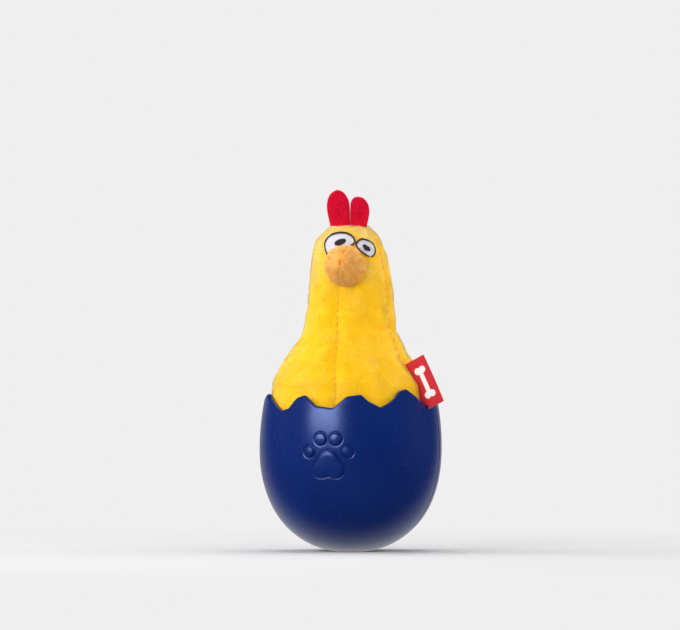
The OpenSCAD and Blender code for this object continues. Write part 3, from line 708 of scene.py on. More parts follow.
def spikes(roots, directions, lengths, widths, rng):
    """An upright fibre at each root."""
    spin = rng.uniform(0, 2 * math.pi, (len(roots), 1))
    side = sideways(directions)
    up = np.cross(directions, side)
    feet = [roots + widths[:, None] * (np.cos(spin + a) * side + np.sin(spin + a) * up)
            for a in (0, 2 * math.pi / 3, 4 * math.pi / 3)]
    points = np.stack([*feet, roots + directions * lengths[:, None]], 1).reshape(-1, 3)
    return points, repeated([[0, 2, 1], [0, 1, 3], [1, 2, 3], [2, 0, 3]], len(roots), 4)


def strands(roots, normals, along, lengths, widths, lifts):
    """A flat tuft at each root that lies along the nap and rises towards its tip."""
    depth = 0.03
    side = np.cross(normals, along) * widths[:, None]
    rise = np.cos(lifts)[:, None] * along + np.sin(lifts)[:, None] * normals
    tips = roots + lengths[:, None] * rise
    points = np.stack([roots + side, roots - side, roots - depth * normals, tips], 1).reshape(-1, 3)
    return points, repeated([[0, 1, 3], [1, 0, 2], [0, 3, 2], [3, 1, 2]], len(roots), 4)


def with_each(shell, tuft_values):
    """One list of values for a shell's points and the four points of every tuft on it."""
    return np.concatenate([shell, np.repeat(tuft_values, 4, axis=0)])


# The egg cup

def paw_distance(x, z):
    """Distance outside a generic paw print, whose pad is three discs run together."""
    u, v = x / PAW_W, (z - PAW_Z) / PAW_W
    pad = np.stack([np.hypot(u - 0.15, v + 0.24) - 0.155, np.hypot(u + 0.15, v + 0.24) - 0.155,
                    np.hypot(u, v + 0.07) - 0.19])
    blend = 0.04
    pad = -blend * np.log(np.exp(-pad / blend).sum(0))
    toes = [np.hypot(np.abs(u) - 0.15, v - 0.34) - 0.115,
            np.hypot(np.abs(u) - 0.385, v - 0.1) - 0.105]
    return PAW_W * np.minimum(pad, np.minimum(*toes))


def cup_columns():
    """Azimuths round the cup, closer together at the paw print and at the parting lines."""
    coarse, parting, paw = 0.85, 0.25, 0.36
    front = np.arange(-20, 20, paw)
    right = np.concatenate([np.arange(20, 88, coarse), np.arange(88, 92, parting),
                            np.arange(92, 180, coarse)])
    columns = np.unique(np.round(np.concatenate([front, right, -right, [180.0]]), 4))
    return columns[columns > -180]


def build_cup():
    """One stack of rings: up the outside, over the petals' rounded edge and down the inside."""
    azimuth = cup_columns()
    rim = rim_height(azimuth)
    b = bowl_b(0, EGG_R, FLAT_R)
    foot_angle, bowl_angle = math.acos((BELLY_Z / b) ** (BOWL_FULLNESS / 2)), 1.28
    bowl = [BELLY_Z - b * math.cos(a) ** (2 / BOWL_FULLNESS)
            for a in np.linspace(foot_angle, bowl_angle, 34)]
    band_pitch, band_top, inside_low = 0.24, 49, 44
    band = np.arange(bowl[-1] + band_pitch, band_top, band_pitch)
    rows = []

    def relief(z):
        """The paw print stands proud, is slightly domed and has a fine moat round it."""
        moat_depth, moat_off, moat_width = 0.2, 0.3, 0.22
        off = paw_distance(EGG_R * np.radians(azimuth), z)
        dome = 1 + 0.15 * smoothstep(-0.4, -2, off)
        proud = PAW_PROUD * (1 - smoothstep(-0.3, 0.12, off)) * dome
        moat = moat_depth * bell(off - moat_off, moat_width)
        return np.where(np.abs(azimuth) < 40, proud - moat, 0)

    def parting(z):
        """The faint line that the two halves of the mould leave on either side."""
        height, width = 0.14, 0.28
        off = (np.abs(azimuth) - 90) * math.pi / 180 * EGG_R
        return height * bell(off, width) * smoothstep(6, 12, z)

    def add(r, z):
        rows.append(around(azimuth, r, z + 0 * azimuth))

    for share in (0.35, 0.7):
        add(FLAT_R * share, 0.0)
    for z in bowl:
        z = max(z, 0)
        add(cup_out(z) + parting(z), z)
    for z in band:
        add(cup_out(z) + relief(z) + parting(z), z)
    edge, low = 0.45, band[-1]
    for share in np.linspace(0, 1, 12)[1:]:
        z = low + (rim - edge - low) * share
        add(cup_out(z) + parting(z), z)
    for turn in np.linspace(0, math.pi / 2, 5)[1:]:
        z = rim - edge + edge * math.sin(turn)
        add(cup_out(rim) - edge + edge * math.cos(turn), z)
    inside = cup_out(rim) - cup_wall(rim)
    for turn in np.linspace(math.pi / 2, 0, 5):
        add(inside + edge - edge * math.cos(turn), rim - edge + edge * math.sin(turn))
    for share in np.linspace(0, 1, 7)[1:]:
        z = rim - edge + (inside_low - rim + edge) * share
        add(cup_in(z), z)
    for z in np.linspace(inside_low, BASE_WALL, 12)[1:]:
        add(np.maximum(cup_in(z), 1.0), z)
    rows = np.array(rows)
    wobble_h, wobble_wave = 0.06, 22
    wobble = wobble_h * Lumps(8, wobble_wave)(rows) * smoothstep(3, 10, rows[..., 2])
    rows[..., :2] *= (1 + wobble / EGG_R)[..., None]
    points, faces = closed_rows(rows, ends=[[0, 0, 0], [0, 0, BASE_WALL]])
    cup = make_piece("egg_cup_shell", points, faces, MATERIALS["cup"], "egg_cup")


# The plush body

def smooth_loop(corners):
    """A closed outline with points added on the curve between its corners."""
    loop = np.array(corners, float)
    for _ in range(2):
        before, after = np.roll(loop, 1, 0), np.roll(loop, -1, 0)
        middle = (9 * (loop + after) - before - np.roll(loop, -2, 0)) / 16
        loop = np.stack([loop, middle], 1).reshape(-1, 2)
    return loop


def tilted_oval(w, h, tilt):
    angle = np.linspace(0, 2 * math.pi, 61)[:-1]
    t = math.radians(tilt)
    u, v = w / 2 * np.cos(angle), h / 2 * np.sin(angle)
    return np.stack([u * math.cos(t) - v * math.sin(t), u * math.sin(t) + v * math.cos(t)], -1)


BIG_EYE_CORNERS = [
    (-0.39, -0.42), (-0.32, -0.5), (-0.14, -0.46), (0.11, -0.32), (0.36, -0.1), (0.5, 0.05),
    (0.5, 0.16), (0.42, 0.31), (0.25, 0.44), (0.06, 0.5), (-0.14, 0.5), (-0.31, 0.45),
    (-0.42, 0.31), (-0.5, 0.1), (-0.47, -0.17),
]
SMALL_EYE_CORNERS = [
    (-0.41, -0.09), (-0.22, -0.3), (-0.02, -0.47), (0.18, -0.5), (0.39, -0.32), (0.5, -0.07),
    (0.46, 0.22), (0.24, 0.41), (0.03, 0.48), (-0.15, 0.5), (-0.35, 0.38), (-0.5, 0.21),
    (-0.49, 0.09),
]
# Each eye's azimuth and drop below the crown, its outline and pupil about its middle, how strong
# the painted shade under its upper edge is, and where its outline leaves a gap
EYES = {
    "big_eye": dict(azimuth=-4.1, drop=6.0, line=smooth_loop(BIG_EYE_CORNERS) * (11.9, 8.2),
                    pupil=tilted_oval(4.5, 2.5, 20) + (0.6, 0.7), shade=1.0, gap_at=None),
    "small_eye": dict(azimuth=43.3, drop=7.5, line=smooth_loop(SMALL_EYE_CORNERS) * (7.8, 6.6),
                      pupil=tilted_oval(3.3, 2.1, -40) + (-0.1, 0), shade=0.35,
                      gap_at=(0.7, -3.3)),
}
EYE_TOP_MARGIN = 0.6


def eye_spot(eye, across, up, out):
    """A spot on the head, at a place on the eye's own plan and a height above the skin."""
    z = CROWN_Z - eye["drop"] + up
    azimuth = eye["azimuth"] + np.degrees(across / ring_by_z(z)[..., 0])
    return skin(azimuth, ring_by_z(np.minimum(z, CROWN_Z - EYE_TOP_MARGIN)), out)


def heights_of(outline, across):
    """The lowest and highest point of a closed outline above each place across it."""
    ends = np.argmin(outline[:, 0]), np.argmax(outline[:, 0])
    turned = np.roll(outline, -ends[0], axis=0)
    split = (ends[1] - ends[0]) % len(outline)
    low = turned[:split + 1]
    high = np.vstack([turned[split:], turned[:1]])[::-1]
    return (np.interp(across, low[:, 0], low[:, 1]), np.interp(across, high[:, 0], high[:, 1]))


def eye_cover(eye, azimuth, z, margin):
    """True where a spot on the head lies under the eye's embroidery."""
    across = np.radians(half_turn(azimuth - eye["azimuth"])) * ring_by_z(z)[..., 0]
    up = z - (CROWN_Z - eye["drop"])
    outline = eye["line"]
    low, high = heights_of(outline, across)
    inside = (across > outline[:, 0].min() - margin) & (across < outline[:, 0].max() + margin)
    return inside & (up > low - margin) & (up < high + margin)


def under_eyes(azimuth, z, margin):
    return np.any([eye_cover(eye, azimuth, z, margin) for eye in EYES.values()], axis=0)


BEAK_CENTRE = (skin(BEAK_AZIMUTH, ring_by_z(BEAK_Z), 0, lumps=False)
               + around(BEAK_AZIMUTH, BEAK_OUT, 0.0))
NAP_TURN = Lumps(11, 11)
NAP_LEAN = Lumps(12, 7)
PILE_L = 1.15
PILE_SINK = 0.1
PILE_LIFT = 11
PILE_DENSITY = 8.0


def pile_roots(low_azimuth, width, seed):
    """Roots scattered evenly over a panel, except under the rim, the eyes and the beak."""
    below_rim, round_eyes, inside_beak = 4.5, 0.3, 0.6
    fine = np.linspace(run_of(PILE_FROM_Z), PROFILE_RUN[-1] - 0.4, 400)
    reach = ring_by_run(fine)[:, 0]
    area = np.concatenate([[0], np.cumsum((reach[1:] + reach[:-1]) / 2 * np.diff(fine))])
    pairs, rng = spread(int(area[-1] * math.radians(width) * PILE_DENSITY), seed)
    ring = ring_by_run(np.interp(pairs[:, 0] * area[-1], area, fine))
    z = ring[:, 1]
    azimuth = with_seam(low_azimuth + width * pairs[:, 1], z)
    roots = skin(azimuth, ring, -PILE_SINK)
    bare = (z < rim_height(azimuth) - below_rim) | under_eyes(azimuth, z, round_eyes)
    bare |= np.linalg.norm(roots - BEAK_CENTRE, axis=1) < BEAK_R - inside_beak
    return azimuth[~bare], ring[~bare], roots[~bare], rng


def plush_panel(name, low_azimuth, high_azimuth, seed):
    """One sewn panel: its cloth, finer at the seams and above the rim, and its pile."""
    width = high_azimuth - low_azimuth
    shares = np.unique(np.concatenate([
        np.linspace(0, 0.12, 9), np.linspace(0.12, 0.88, 36), np.linspace(0.88, 1, 9)]))
    start = run_of(FINE_FROM_Z)
    runs = np.concatenate([np.linspace(0, start, 8)[:-1],
                           np.linspace(start, PROFILE_RUN[-1], 130)])
    ring = ring_grid(runs, len(shares))
    azimuth = with_seam((low_azimuth + width * shares)[None, :], ring[..., 1])
    shell, shell_faces = slab(skin(azimuth, ring, 0), skin(azimuth, ring, -PLUSH_T))
    normal = skin_frame(azimuth, ring)[0].reshape(-1, 3)

    azimuth, ring, roots, rng = pile_roots(low_azimuth, width, seed)
    z, count = ring[:, 1], len(roots)
    normals, down = skin_frame(azimuth, ring)
    turn = (0.5 * NAP_TURN(roots) + rng.normal(0, 0.45, count))[:, None]
    along = unit(np.cos(turn) * down + np.sin(turn) * np.cross(normals, down))
    crown = smoothstep(CROWN_Z - 7, CROWN_Z - 1, z)
    lift = np.radians(PILE_LIFT + 3 * NAP_LEAN(roots) + rng.normal(0, 4, count) + 3 * crown)
    near_seam = np.min([seam_distance(azimuth, ring[:, 0], s) for s in seams_at(z)], axis=0)
    length = PILE_L * rng.uniform(0.75, 1.2, count) * (1 + 0.3 * crown)
    length *= 0.75 + 0.25 * smoothstep(0.1, 1.0, near_seam)
    length *= np.where(under_eyes(azimuth, z, 1.3), 0.6, 1)
    length *= np.where(z < rim_height(azimuth) + 0.4, 0.5, 1)
    pile, faces = strands(roots, normals, along, length, rng.uniform(0.09, 0.15, count), lift)
    shade = unit(normals + 0.12 * along + rng.normal(0, 0.13, normals.shape))
    tone = rng.uniform(size=count)
    # Painted sheen: the pile turns pale towards the crown and on the head's side at negative
    # azimuths, the side the lamps light most; a little more where the nap turns.
    head = smoothstep(CROWN_Z - 26, CROWN_Z - 8, z) * (0.5 - 0.25 * np.sin(np.radians(azimuth)))
    painted_sheen_and_brushing = np.clip(head + 0.35 * smoothstep(CROWN_Z - 8, CROWN_Z - 1, z)
                   + 0.15 * smoothstep(-0.6, 1.6, NAP_TURN(roots)), 0, 1)
    points = len(shell)
    panel = make_piece(
        name + "_pile", np.vstack([shell, pile]), [shell_faces, faces + points],
        MATERIALS["yellow"], name, normals=with_each(np.vstack([normal, -normal]), shade),
        marks={"pile": np.concatenate([np.full(points, 0.2), np.tile([0.3, 0.3, 0, 1], count)]),
               "tone": with_each(np.full(points, 0.5), tone),
               "painted_sheen_and_brushing": with_each(np.zeros(points), painted_sheen_and_brushing)})
    soft(panel)


def stuff_plush():
    """Inflates the sewn plush between its seams with Blender's cloth, and keeps the swell."""
    flat = np.arange(-SIDE_SEAM, 360 - SIDE_SEAM, CLOTH_STEP)
    runs = np.linspace(run_of(FINE_FROM_Z), PROFILE_RUN[-1] - 0.8, CLOTH_ROWS)
    ring = ring_grid(runs, len(flat))
    z = ring[..., 1]
    azimuth = with_seam(half_turn(flat)[None, :], z)
    rest = skin(azimuth, ring, lumps=False)
    normal, _ = skin_frame(azimuth, ring)
    points, groups = closed_rows(rest)
    mesh = bpy.data.meshes.new("stuffed_form")
    mesh.from_pydata(points * MM * CLOTH_SCALE, [], [f for group in groups for f in group.tolist()])
    form = in_scene("stuffed_form", mesh)
    sewn = np.isin(flat, (-SIDE_SEAM, 0, SIDE_SEAM, 180))[None, :] * (z > 0)
    held = np.maximum(sewn, 1 - smoothstep(RIM_TOP_Z - 2, RIM_TOP_Z + 6, z))
    held = np.maximum(held, smoothstep(CROWN_Z - 5, CROWN_Z - 1, z))
    pins = form.vertex_groups.new(name="sewn")
    for k, weight in enumerate([*held.ravel(), 1, 1]):
        pins.add([k], float(weight), "REPLACE")
    cloth = form.modifiers.new("stuffing", "CLOTH")
    cloth.settings.quality = 6
    cloth.settings.vertex_group_mass = "sewn"
    cloth.settings.use_pressure = True
    cloth.settings.uniform_pressure_force = 4.0
    cloth.settings.shrink_min = -0.04
    cloth.settings.effector_weights.gravity = 0.0
    cloth.collision_settings.use_collision = False
    cloth.point_cache.frame_start, cloth.point_cache.frame_end = 1, CLOTH_FRAMES
    scene = bpy.context.scene
    for moment in range(1, CLOTH_FRAMES + 1):
        scene.frame_set(moment)
    posed = form.evaluated_get(bpy.context.evaluated_depsgraph_get())
    places = np.empty(len(points) * 3)
    posed.data.vertices.foreach_get("co", places)
    moved = places.reshape(-1, 3)[:rest.size // 3].reshape(rest.shape) / (MM * CLOTH_SCALE)
    scene.frame_set(1)
    bpy.data.objects.remove(form)
    bpy.data.meshes.remove(mesh)
    out = ((moved - rest) * normal).sum(-1)
    free = held < 0.5
    even = 0.6 * out[free].mean() * smoothstep(RIM_TOP_Z, RIM_TOP_Z + 6, z)
    out = np.where(z > RIM_TOP_Z, out - even, 0)
    out = SWELL_TYPICAL * out / np.percentile(np.abs(out[free]), 95)
    out = out * (1 - 0.7 * smoothstep(BEAK_Z - 14, BEAK_Z - 2, z))
    SWELL.extend([np.clip(out, -SWELL_MOST, SWELL_MOST), z[:, 0]])


def build_plush():
    plush_panel("plush_front_left", -SIDE_SEAM, 0, 21)
    plush_panel("plush_front_right", 0, SIDE_SEAM, 22)
    plush_panel("plush_back_left", 180, 360 - SIDE_SEAM, 23)
    plush_panel("plush_back_right", SIDE_SEAM, 180, 24)


# Stitches

LABEL_SPAN = (53.5, 73.0)


def stitch_row(name, seam, low_z, high_z, skip=(0, 0)):
    """Slanted stitches up a seam, raised more on the front seam than on the others."""
    raised, sunk, thread_r, slant_most = 0.36 if seam == 0 else 0.14, 0.5, 0.19, 0.25
    starts = np.arange(low_z, high_z - STITCH_L, STITCH_PITCH)
    starts = starts[(starts + STITCH_L < skip[0]) | (starts > skip[1])]
    share = np.linspace(0, 1, 9)
    z = starts[:, None] + STITCH_L * share[None, :]
    lift = raised - sunk * (2 * share - 1) ** 4
    rng = np.random.default_rng(int(seam) % 97 + 5)
    slant = rng.uniform(-slant_most, slant_most, (len(starts), 1)) * (share - 0.5)
    ring = ring_by_z(z)
    middle = front_seam(z) if seam == 0 else seam
    paths = skin(middle + np.degrees(slant / ring[..., 0]), ring, lift)
    radii = thread_r * (1 - 0.35 * (2 * share - 1) ** 4)
    piece = make_piece(name + "_stitches", *tubes(paths, radii[None, :], 8),
                       MATERIALS["seam"], name)
    soft(piece)


def build_stitches():
    low, top = RIM_TOP_Z + 1, CROWN_Z - 8
    stitch_row("seam_thread_front", 0, RIM_TOP_Z - PETAL_H / 2, BEAK_Z - BEAK_R - 1.5)
    stitch_row("seam_thread_back", 180, low, top)
    stitch_row("seam_thread_left", -SIDE_SEAM, low, top)
    stitch_row("seam_thread_right", SIDE_SEAM, low, top, LABEL_SPAN)


# The beak

def beak_axes():
    """Across the beak's seam plane, forwards along it and up along it."""
    lateral, front = level_axes(BEAK_AZIMUTH + BEAK_YAW)
    roll, up = math.radians(BEAK_ROLL), np.array([0, 0, 1.0])
    return (math.cos(roll) * lateral - math.sin(roll) * up, front,
            math.cos(roll) * up + math.sin(roll) * lateral)


BEAK_LUMPS, BEAK_LUMP_H = Lumps(31, 5), 0.18
BEAK_SHELL_SINK = 0.55


def beak_direction(side, psi, theta):
    """From the beak's middle: psi from the seam plane to the cheek, theta round the seam."""
    lateral, front, up = beak_axes()
    ring = np.cos(psi)
    return (side * np.sin(psi)[..., None] * lateral
            + (ring * np.cos(theta))[..., None] * front + (ring * np.sin(theta))[..., None] * up)


def beak_point(side, psi, theta, out=0.0):
    """On one half of the beak, with the crease along its seam and a dimple at two places."""
    dimple = sum(bell(theta - middle, DIMPLE_ARC) for middle in DIMPLES)
    off_seam = BEAK_R * np.sin(psi)
    crease = (CREASE_D * bell(off_seam, CREASE_W)
              + DIMPLE_D * dimple * bell(off_seam, DIMPLE_W))
    p = beak_direction(side, psi, theta)
    r = BEAK_R - BEAK_SHELL_SINK + out - crease + BEAK_LUMP_H * BEAK_LUMPS(BEAK_R * p)
    return BEAK_CENTRE + p * r[..., None]


def seated(points, gap):
    """Pushes what lies inside the head out onto its skin."""
    z = np.clip(points[..., 2], HEM_Z, CROWN_Z - 1)
    ring = ring_by_z(z)
    centre = ring[..., 2:3] * LEAN
    flat = points - centre
    azimuth = np.degrees(np.arctan2(flat[..., 0], -flat[..., 1]))
    reach = np.linalg.norm(flat[..., :2], axis=-1)
    least = ring[..., 0] + gap
    return around(azimuth, np.maximum(reach, least), points[..., 2]) + centre, reach < least


def beak_half(name, side, seed):
    """One plush half: a closed shell, and long hair that parts along a slit at the upper dimple."""
    psi = np.linspace(0, math.pi / 2 - 0.03, 30)[:, None]
    theta = np.linspace(-math.pi, math.pi, 91)[None, :-1]
    grid, _ = seated(beak_point(side, psi + 0 * theta, theta + 0 * psi), 0.2)
    shell, shell_faces = closed_rows(grid, flipped=side > 0)

    pairs, rng = spread(6500, seed)
    root_psi, root_theta = np.arcsin(pairs[:, 0] * 0.995), (pairs[:, 1] * 2 - 1) * math.pi
    roots = beak_point(side, root_psi, root_theta, -PILE_SINK)
    roots = roots[~seated(roots, 0.3)[1]]
    count = len(roots)
    normal = unit(roots - BEAK_CENTRE)
    lateral, front, up = beak_axes()
    knots = [BEAK_CENTRE + BEAK_R * (front * math.cos(t) + up * math.sin(t)) for t in DIMPLES]
    slit = up * math.cos(DIMPLES[0]) - front * math.sin(DIMPLES[0])
    from_centre = roots - knots[0]
    on_slit = np.clip(from_centre @ slit, -1.3, 1.3)
    away = unit(from_centre - on_slit[:, None] * slit) - 0.35 * up
    tangent = unit(away - (away * normal).sum(-1, keepdims=True) * normal)
    turn = 0.55 * Lumps(33, 4)(roots)[:, None] + rng.normal(0, 0.28, (count, 1))
    tangent = unit(tangent + turn * np.cross(normal, tangent))

    def knot_distance(places):
        places = BEAK_R * unit(places - BEAK_CENTRE)
        return np.min([np.hypot(0.5 * np.linalg.norm(places + BEAK_CENTRE - knot, axis=1),
                                1.6 * np.abs(places @ lateral)) for knot in knots], axis=0)

    from_seam = np.abs(roots @ lateral - BEAK_CENTRE @ lateral)
    from_knot = knot_distance(roots)
    # Painted shade: the hair is darker round the knots of the dimples and along the seam's crease.
    painted_crease_shade = np.maximum(bell(from_knot, 0.65), 0.4 * bell(from_seam, 0.35))
    length = rng.uniform(1.6, 3.0, count) * (0.5 + 0.5 * smoothstep(0.2, 1.2, from_knot))
    lift = np.radians(rng.normal(PILE_LIFT, 4, count))
    bearing = np.arctan2(from_centre @ up, from_centre @ lateral)
    streak = 0.5 + 0.3 * np.sin(13 * bearing + side) + 0.3 * np.sin(37 * bearing + 2)
    tone = 1.1 * streak + 0.5 * rng.uniform(size=count) - 0.3
    hair, faces = strands(roots, normal, tangent, length, rng.uniform(0.11, 0.2, count), lift)
    shade = unit(normal + 0.2 * tangent + rng.normal(0, 0.16, normal.shape))
    # Painted shade: the shell turns to the darker root colour round the knots.
    shell_pile = 0.35 - 0.35 * bell(knot_distance(shell), 0.75)
    hair_pile = np.outer(0.6 * (1 - painted_crease_shade), [0.6, 0.6, 0.2, 1]).ravel()
    beak = make_piece(
        name + "_pile", np.vstack([shell, hair]), [*shell_faces, faces + len(shell)],
        MATERIALS["orange"], name, normals=with_each(unit(shell - BEAK_CENTRE), shade),
        marks={"pile": np.concatenate([shell_pile, hair_pile]),
               "tone": with_each(np.full(len(shell), 0.4), tone)})
    soft(beak)


def build_beak():
    beak_half("beak_left_panel", -1, 41)
    beak_half("beak_right_panel", 1, 42)


# The embroidered eyes

THREAD_PITCH = 0.3
EYE_STITCH_PITCH = 0.22


def satin_patch(name, node, eye, outline, low, high, material, fray, shade=0.0):
    """Parallel threads that fill an outline and follow the head."""
    left, right = outline[:, 0].min(), outline[:, 0].max()
    x = np.linspace(left + 0.02, right - 0.02, int((right - left) / THREAD_PITCH * 6))
    v = np.linspace(0, 1, 40)
    bottom, top = heights_of(outline, x)
    thread_of = ((x - left) / THREAD_PITCH).astype(int)
    loose = np.random.default_rng(len(name)).normal(0, fray, (2, thread_of[-1] + 1))[:, thread_of]
    bottom, top = bottom + loose[0], np.maximum(top + loose[1], bottom + loose[0] + 0.02)
    across = x[:, None] + 0 * v
    up = bottom[:, None] + (top - bottom)[:, None] * v
    ridge = np.abs(np.cos(math.pi * across / THREAD_PITCH)) ** 0.7
    dome = np.sqrt(np.clip(1 - (2 * v - 1) ** 6, 0, 1))
    rise = low + (high - low) * (0.25 + 0.75 * dome) * (0.6 + 0.4 * ridge)
    outer = np.swapaxes(eye_spot(eye, across, up, rise), 0, 1)
    inner = np.swapaxes(eye_spot(eye, across, up, np.full_like(rise, low - 0.25)), 0, 1)
    points, faces = slab(outer, inner)
    # Painted shade: the white turns lilac grey under the patch's top edge, fading out by 1.7 mm
    # below it and reaching further down on its left.
    from_top = (top[:, None] - up) + 0.12 * (across - left)
    painted_shade = shade * (1 - smoothstep(0.5, 1.7, from_top)).T.reshape(-1)
    piece = make_piece(name, points, [faces], MATERIALS[material], node,
                       marks={"painted_shade": np.concatenate([painted_shade, painted_shade])})
    soft(piece)


def stitched_line(name, node, eye, gap_at):
    """Short slanted stitches side by side round the eye, with a gap if the eye has one."""
    loop = np.vstack([eye["line"], eye["line"][:1]])
    run = run_along(loop)
    place_on = np.arange(0, run[-1], EYE_STITCH_PITCH)
    if gap_at is not None:
        gap_run = run[np.argmin(np.linalg.norm(loop - gap_at, axis=1))]
        place_on = place_on[np.abs(place_on - gap_run) > 0.45]
    rng = np.random.default_rng(51 + len(name))
    centre = between(place_on, run, loop)
    along = unit(between((place_on + 0.2) % run[-1], run, loop) - centre)
    out = np.stack([along[:, 1], -along[:, 0]], -1)
    uneven = rng.uniform(0.75, 1.35, len(centre)) + 0.15 * np.sin(5.5 * place_on)
    half = (EYE_LINE_W / 2 - 0.1) * uneven
    share = np.linspace(-1, 1, 6)
    slant = (out + 0.4 * along)[:, None, :]
    path = centre[:, None, :] + (share * half[:, None])[..., None] * slant
    lift = 0.5 + 0.3 * (1 - share ** 2) + rng.normal(0, 0.04, (len(centre), 1))
    paths = eye_spot(eye, path[..., 0], path[..., 1], lift)
    radii = 0.13 * np.sqrt(1.05 - share ** 2 * 0.75)
    piece = make_piece(name, *tubes(paths, radii[None, :], 6), MATERIALS["black"], node)
    soft(piece)


def build_eyes():
    for name, eye in EYES.items():
        satin_patch(name + "_satin", name + "_white", eye, eye["line"], low=0.15, high=0.55,
                    material="white", fray=0.06, shade=eye["shade"])
        satin_patch(name + "_dot", name + "_pupil", eye, eye["pupil"], low=0.55, high=0.85,
                    material="black", fray=0.15)
        stitched_line(name + "_line", name + "_outline", eye, eye["gap_at"])


# The comb

LARGE_LOBE = [
    (0.18, 0.02), (0.1, 0.22), (0.04, 0.37), (0, 0.56), (0.03, 0.73), (0.1, 0.85), (0.24, 0.95),
    (0.41, 1), (0.52, 1), (0.65, 0.97), (0.77, 0.91), (0.88, 0.82), (0.96, 0.71), (0.99, 0.6),
    (1, 0.41), (1, 0.05),
]
SMALL_LOBE = [
    (0, 0.05), (0, 0.42), (0.01, 0.62), (0.03, 0.78), (0.09, 0.89), (0.2, 0.97), (0.37, 1),
    (0.55, 0.99), (0.71, 0.95), (0.86, 0.85), (0.96, 0.73), (1, 0.57), (0.99, 0.44),
    (0.95, 0.29), (0.86, 0.05),
]
FELT_T = 1.6
COMB_TAB = 3.5
COMB_SPLIT_X = -0.2


def lobe(name, outline, left, w, rise, seed):
    """One lobe of thick felt: two bulging faces from the middle to a rounded edge, and fuzz."""
    edge = catmull_rom([(x * w + left, CROWN_Z + h * rise) for x, h in outline], 10)
    foot = np.array([[edge[-1, 0], CROWN_Z - COMB_TAB], [edge[0, 0], CROWN_Z - COMB_TAB]])
    loop = np.vstack([edge, np.linspace(edge[-1], foot[0], 9)[1:],
                      np.linspace(*foot, 14)[1:], np.linspace(foot[1], edge[0], 9)[1:-1]])
    centre = np.array([left + w / 2, CROWN_Z + rise * 0.42])
    comb_y = LEAN[1] * HEAD_LEAN
    bend_h, grain_h = 0.25, 0.05
    shares, rounding = np.concatenate([np.linspace(0.04, 0.9, 16), [0.95, 0.98, 1.0]]), 0.14
    bend, grain = Lumps(seed, 14), Lumps(seed + 1, 1.6)

    def face(front):
        layers = []
        for s in shares:
            flat = centre + (loop - centre) * s
            past = max(0, (s - 1 + rounding) / rounding)
            thickness = FELT_T * np.sqrt(np.clip(1 - past ** 2.2, 0, 1))
            p = np.insert(flat, 1, comb_y, axis=1)
            p[:, 1] += -front * thickness / 2 + bend_h * bend(p) + grain_h * grain(p) * (s < 0.99)
            layers.append(p)
        return np.array(layers)

    rows = np.concatenate([face(1), face(-1)[::-1][1:]])
    x, z = loop.T
    anticlockwise = (x * np.roll(z, -1) - np.roll(x, -1) * z).sum() > 0
    shell, faces = closed_rows(rows, flipped=anticlockwise)

    rng = np.random.default_rng(seed)
    spots = rng.integers(0, rows.size // 3, 2600)
    roots = rows.reshape(-1, 3)[spots] + rng.normal(0, 0.12, (len(spots), 3)) * (1, 0, 1)
    roots = roots[roots[:, 2] > CROWN_Z - 1]
    outward = roots - np.array([centre[0], comb_y, centre[1]])
    outward = unit(outward * (0.35, 3.0, 0.35) + rng.normal(0, 0.6, outward.shape))
    fuzz, fuzz_faces = spikes(roots - outward * 0.1, outward, rng.uniform(0.2, 0.42, len(roots)),
                              np.full(len(roots), 0.035), rng)
    piece = make_piece(name + "_felt", np.vstack([shell, fuzz]),
                       [*faces, fuzz_faces + len(shell)], MATERIALS["felt"], name)
    soft(piece)


def build_comb():
    lobe("comb_large_lobe", LARGE_LOBE, COMB_SPLIT_X - 9.1, 9.1, 15.0, 61)
    lobe("comb_small_lobe", SMALL_LOBE, COMB_SPLIT_X + 0.1, 7.6, 12.4, 63)


# The ribbon label, with a generic bone woven in its place for a mark

LABEL_L = 19.6
LABEL_W = 7.8
LABEL_T = 1.1
LABEL_LAYER = 0.42
LABEL_DROP = 51.6
LABEL_FALL = 63.5
LABEL_TAB = 1.2


def bone_distance(along, across):
    """Distance outside a plain bone that lies along the label."""
    half, knob, knob_out, shaft = 5.0, 1.35, 1.05, 0.9
    a, c = np.abs(along), np.abs(across)
    ends = np.hypot(a - half, c - knob_out) - knob
    return np.minimum(ends, np.maximum(a - half, c - shaft))


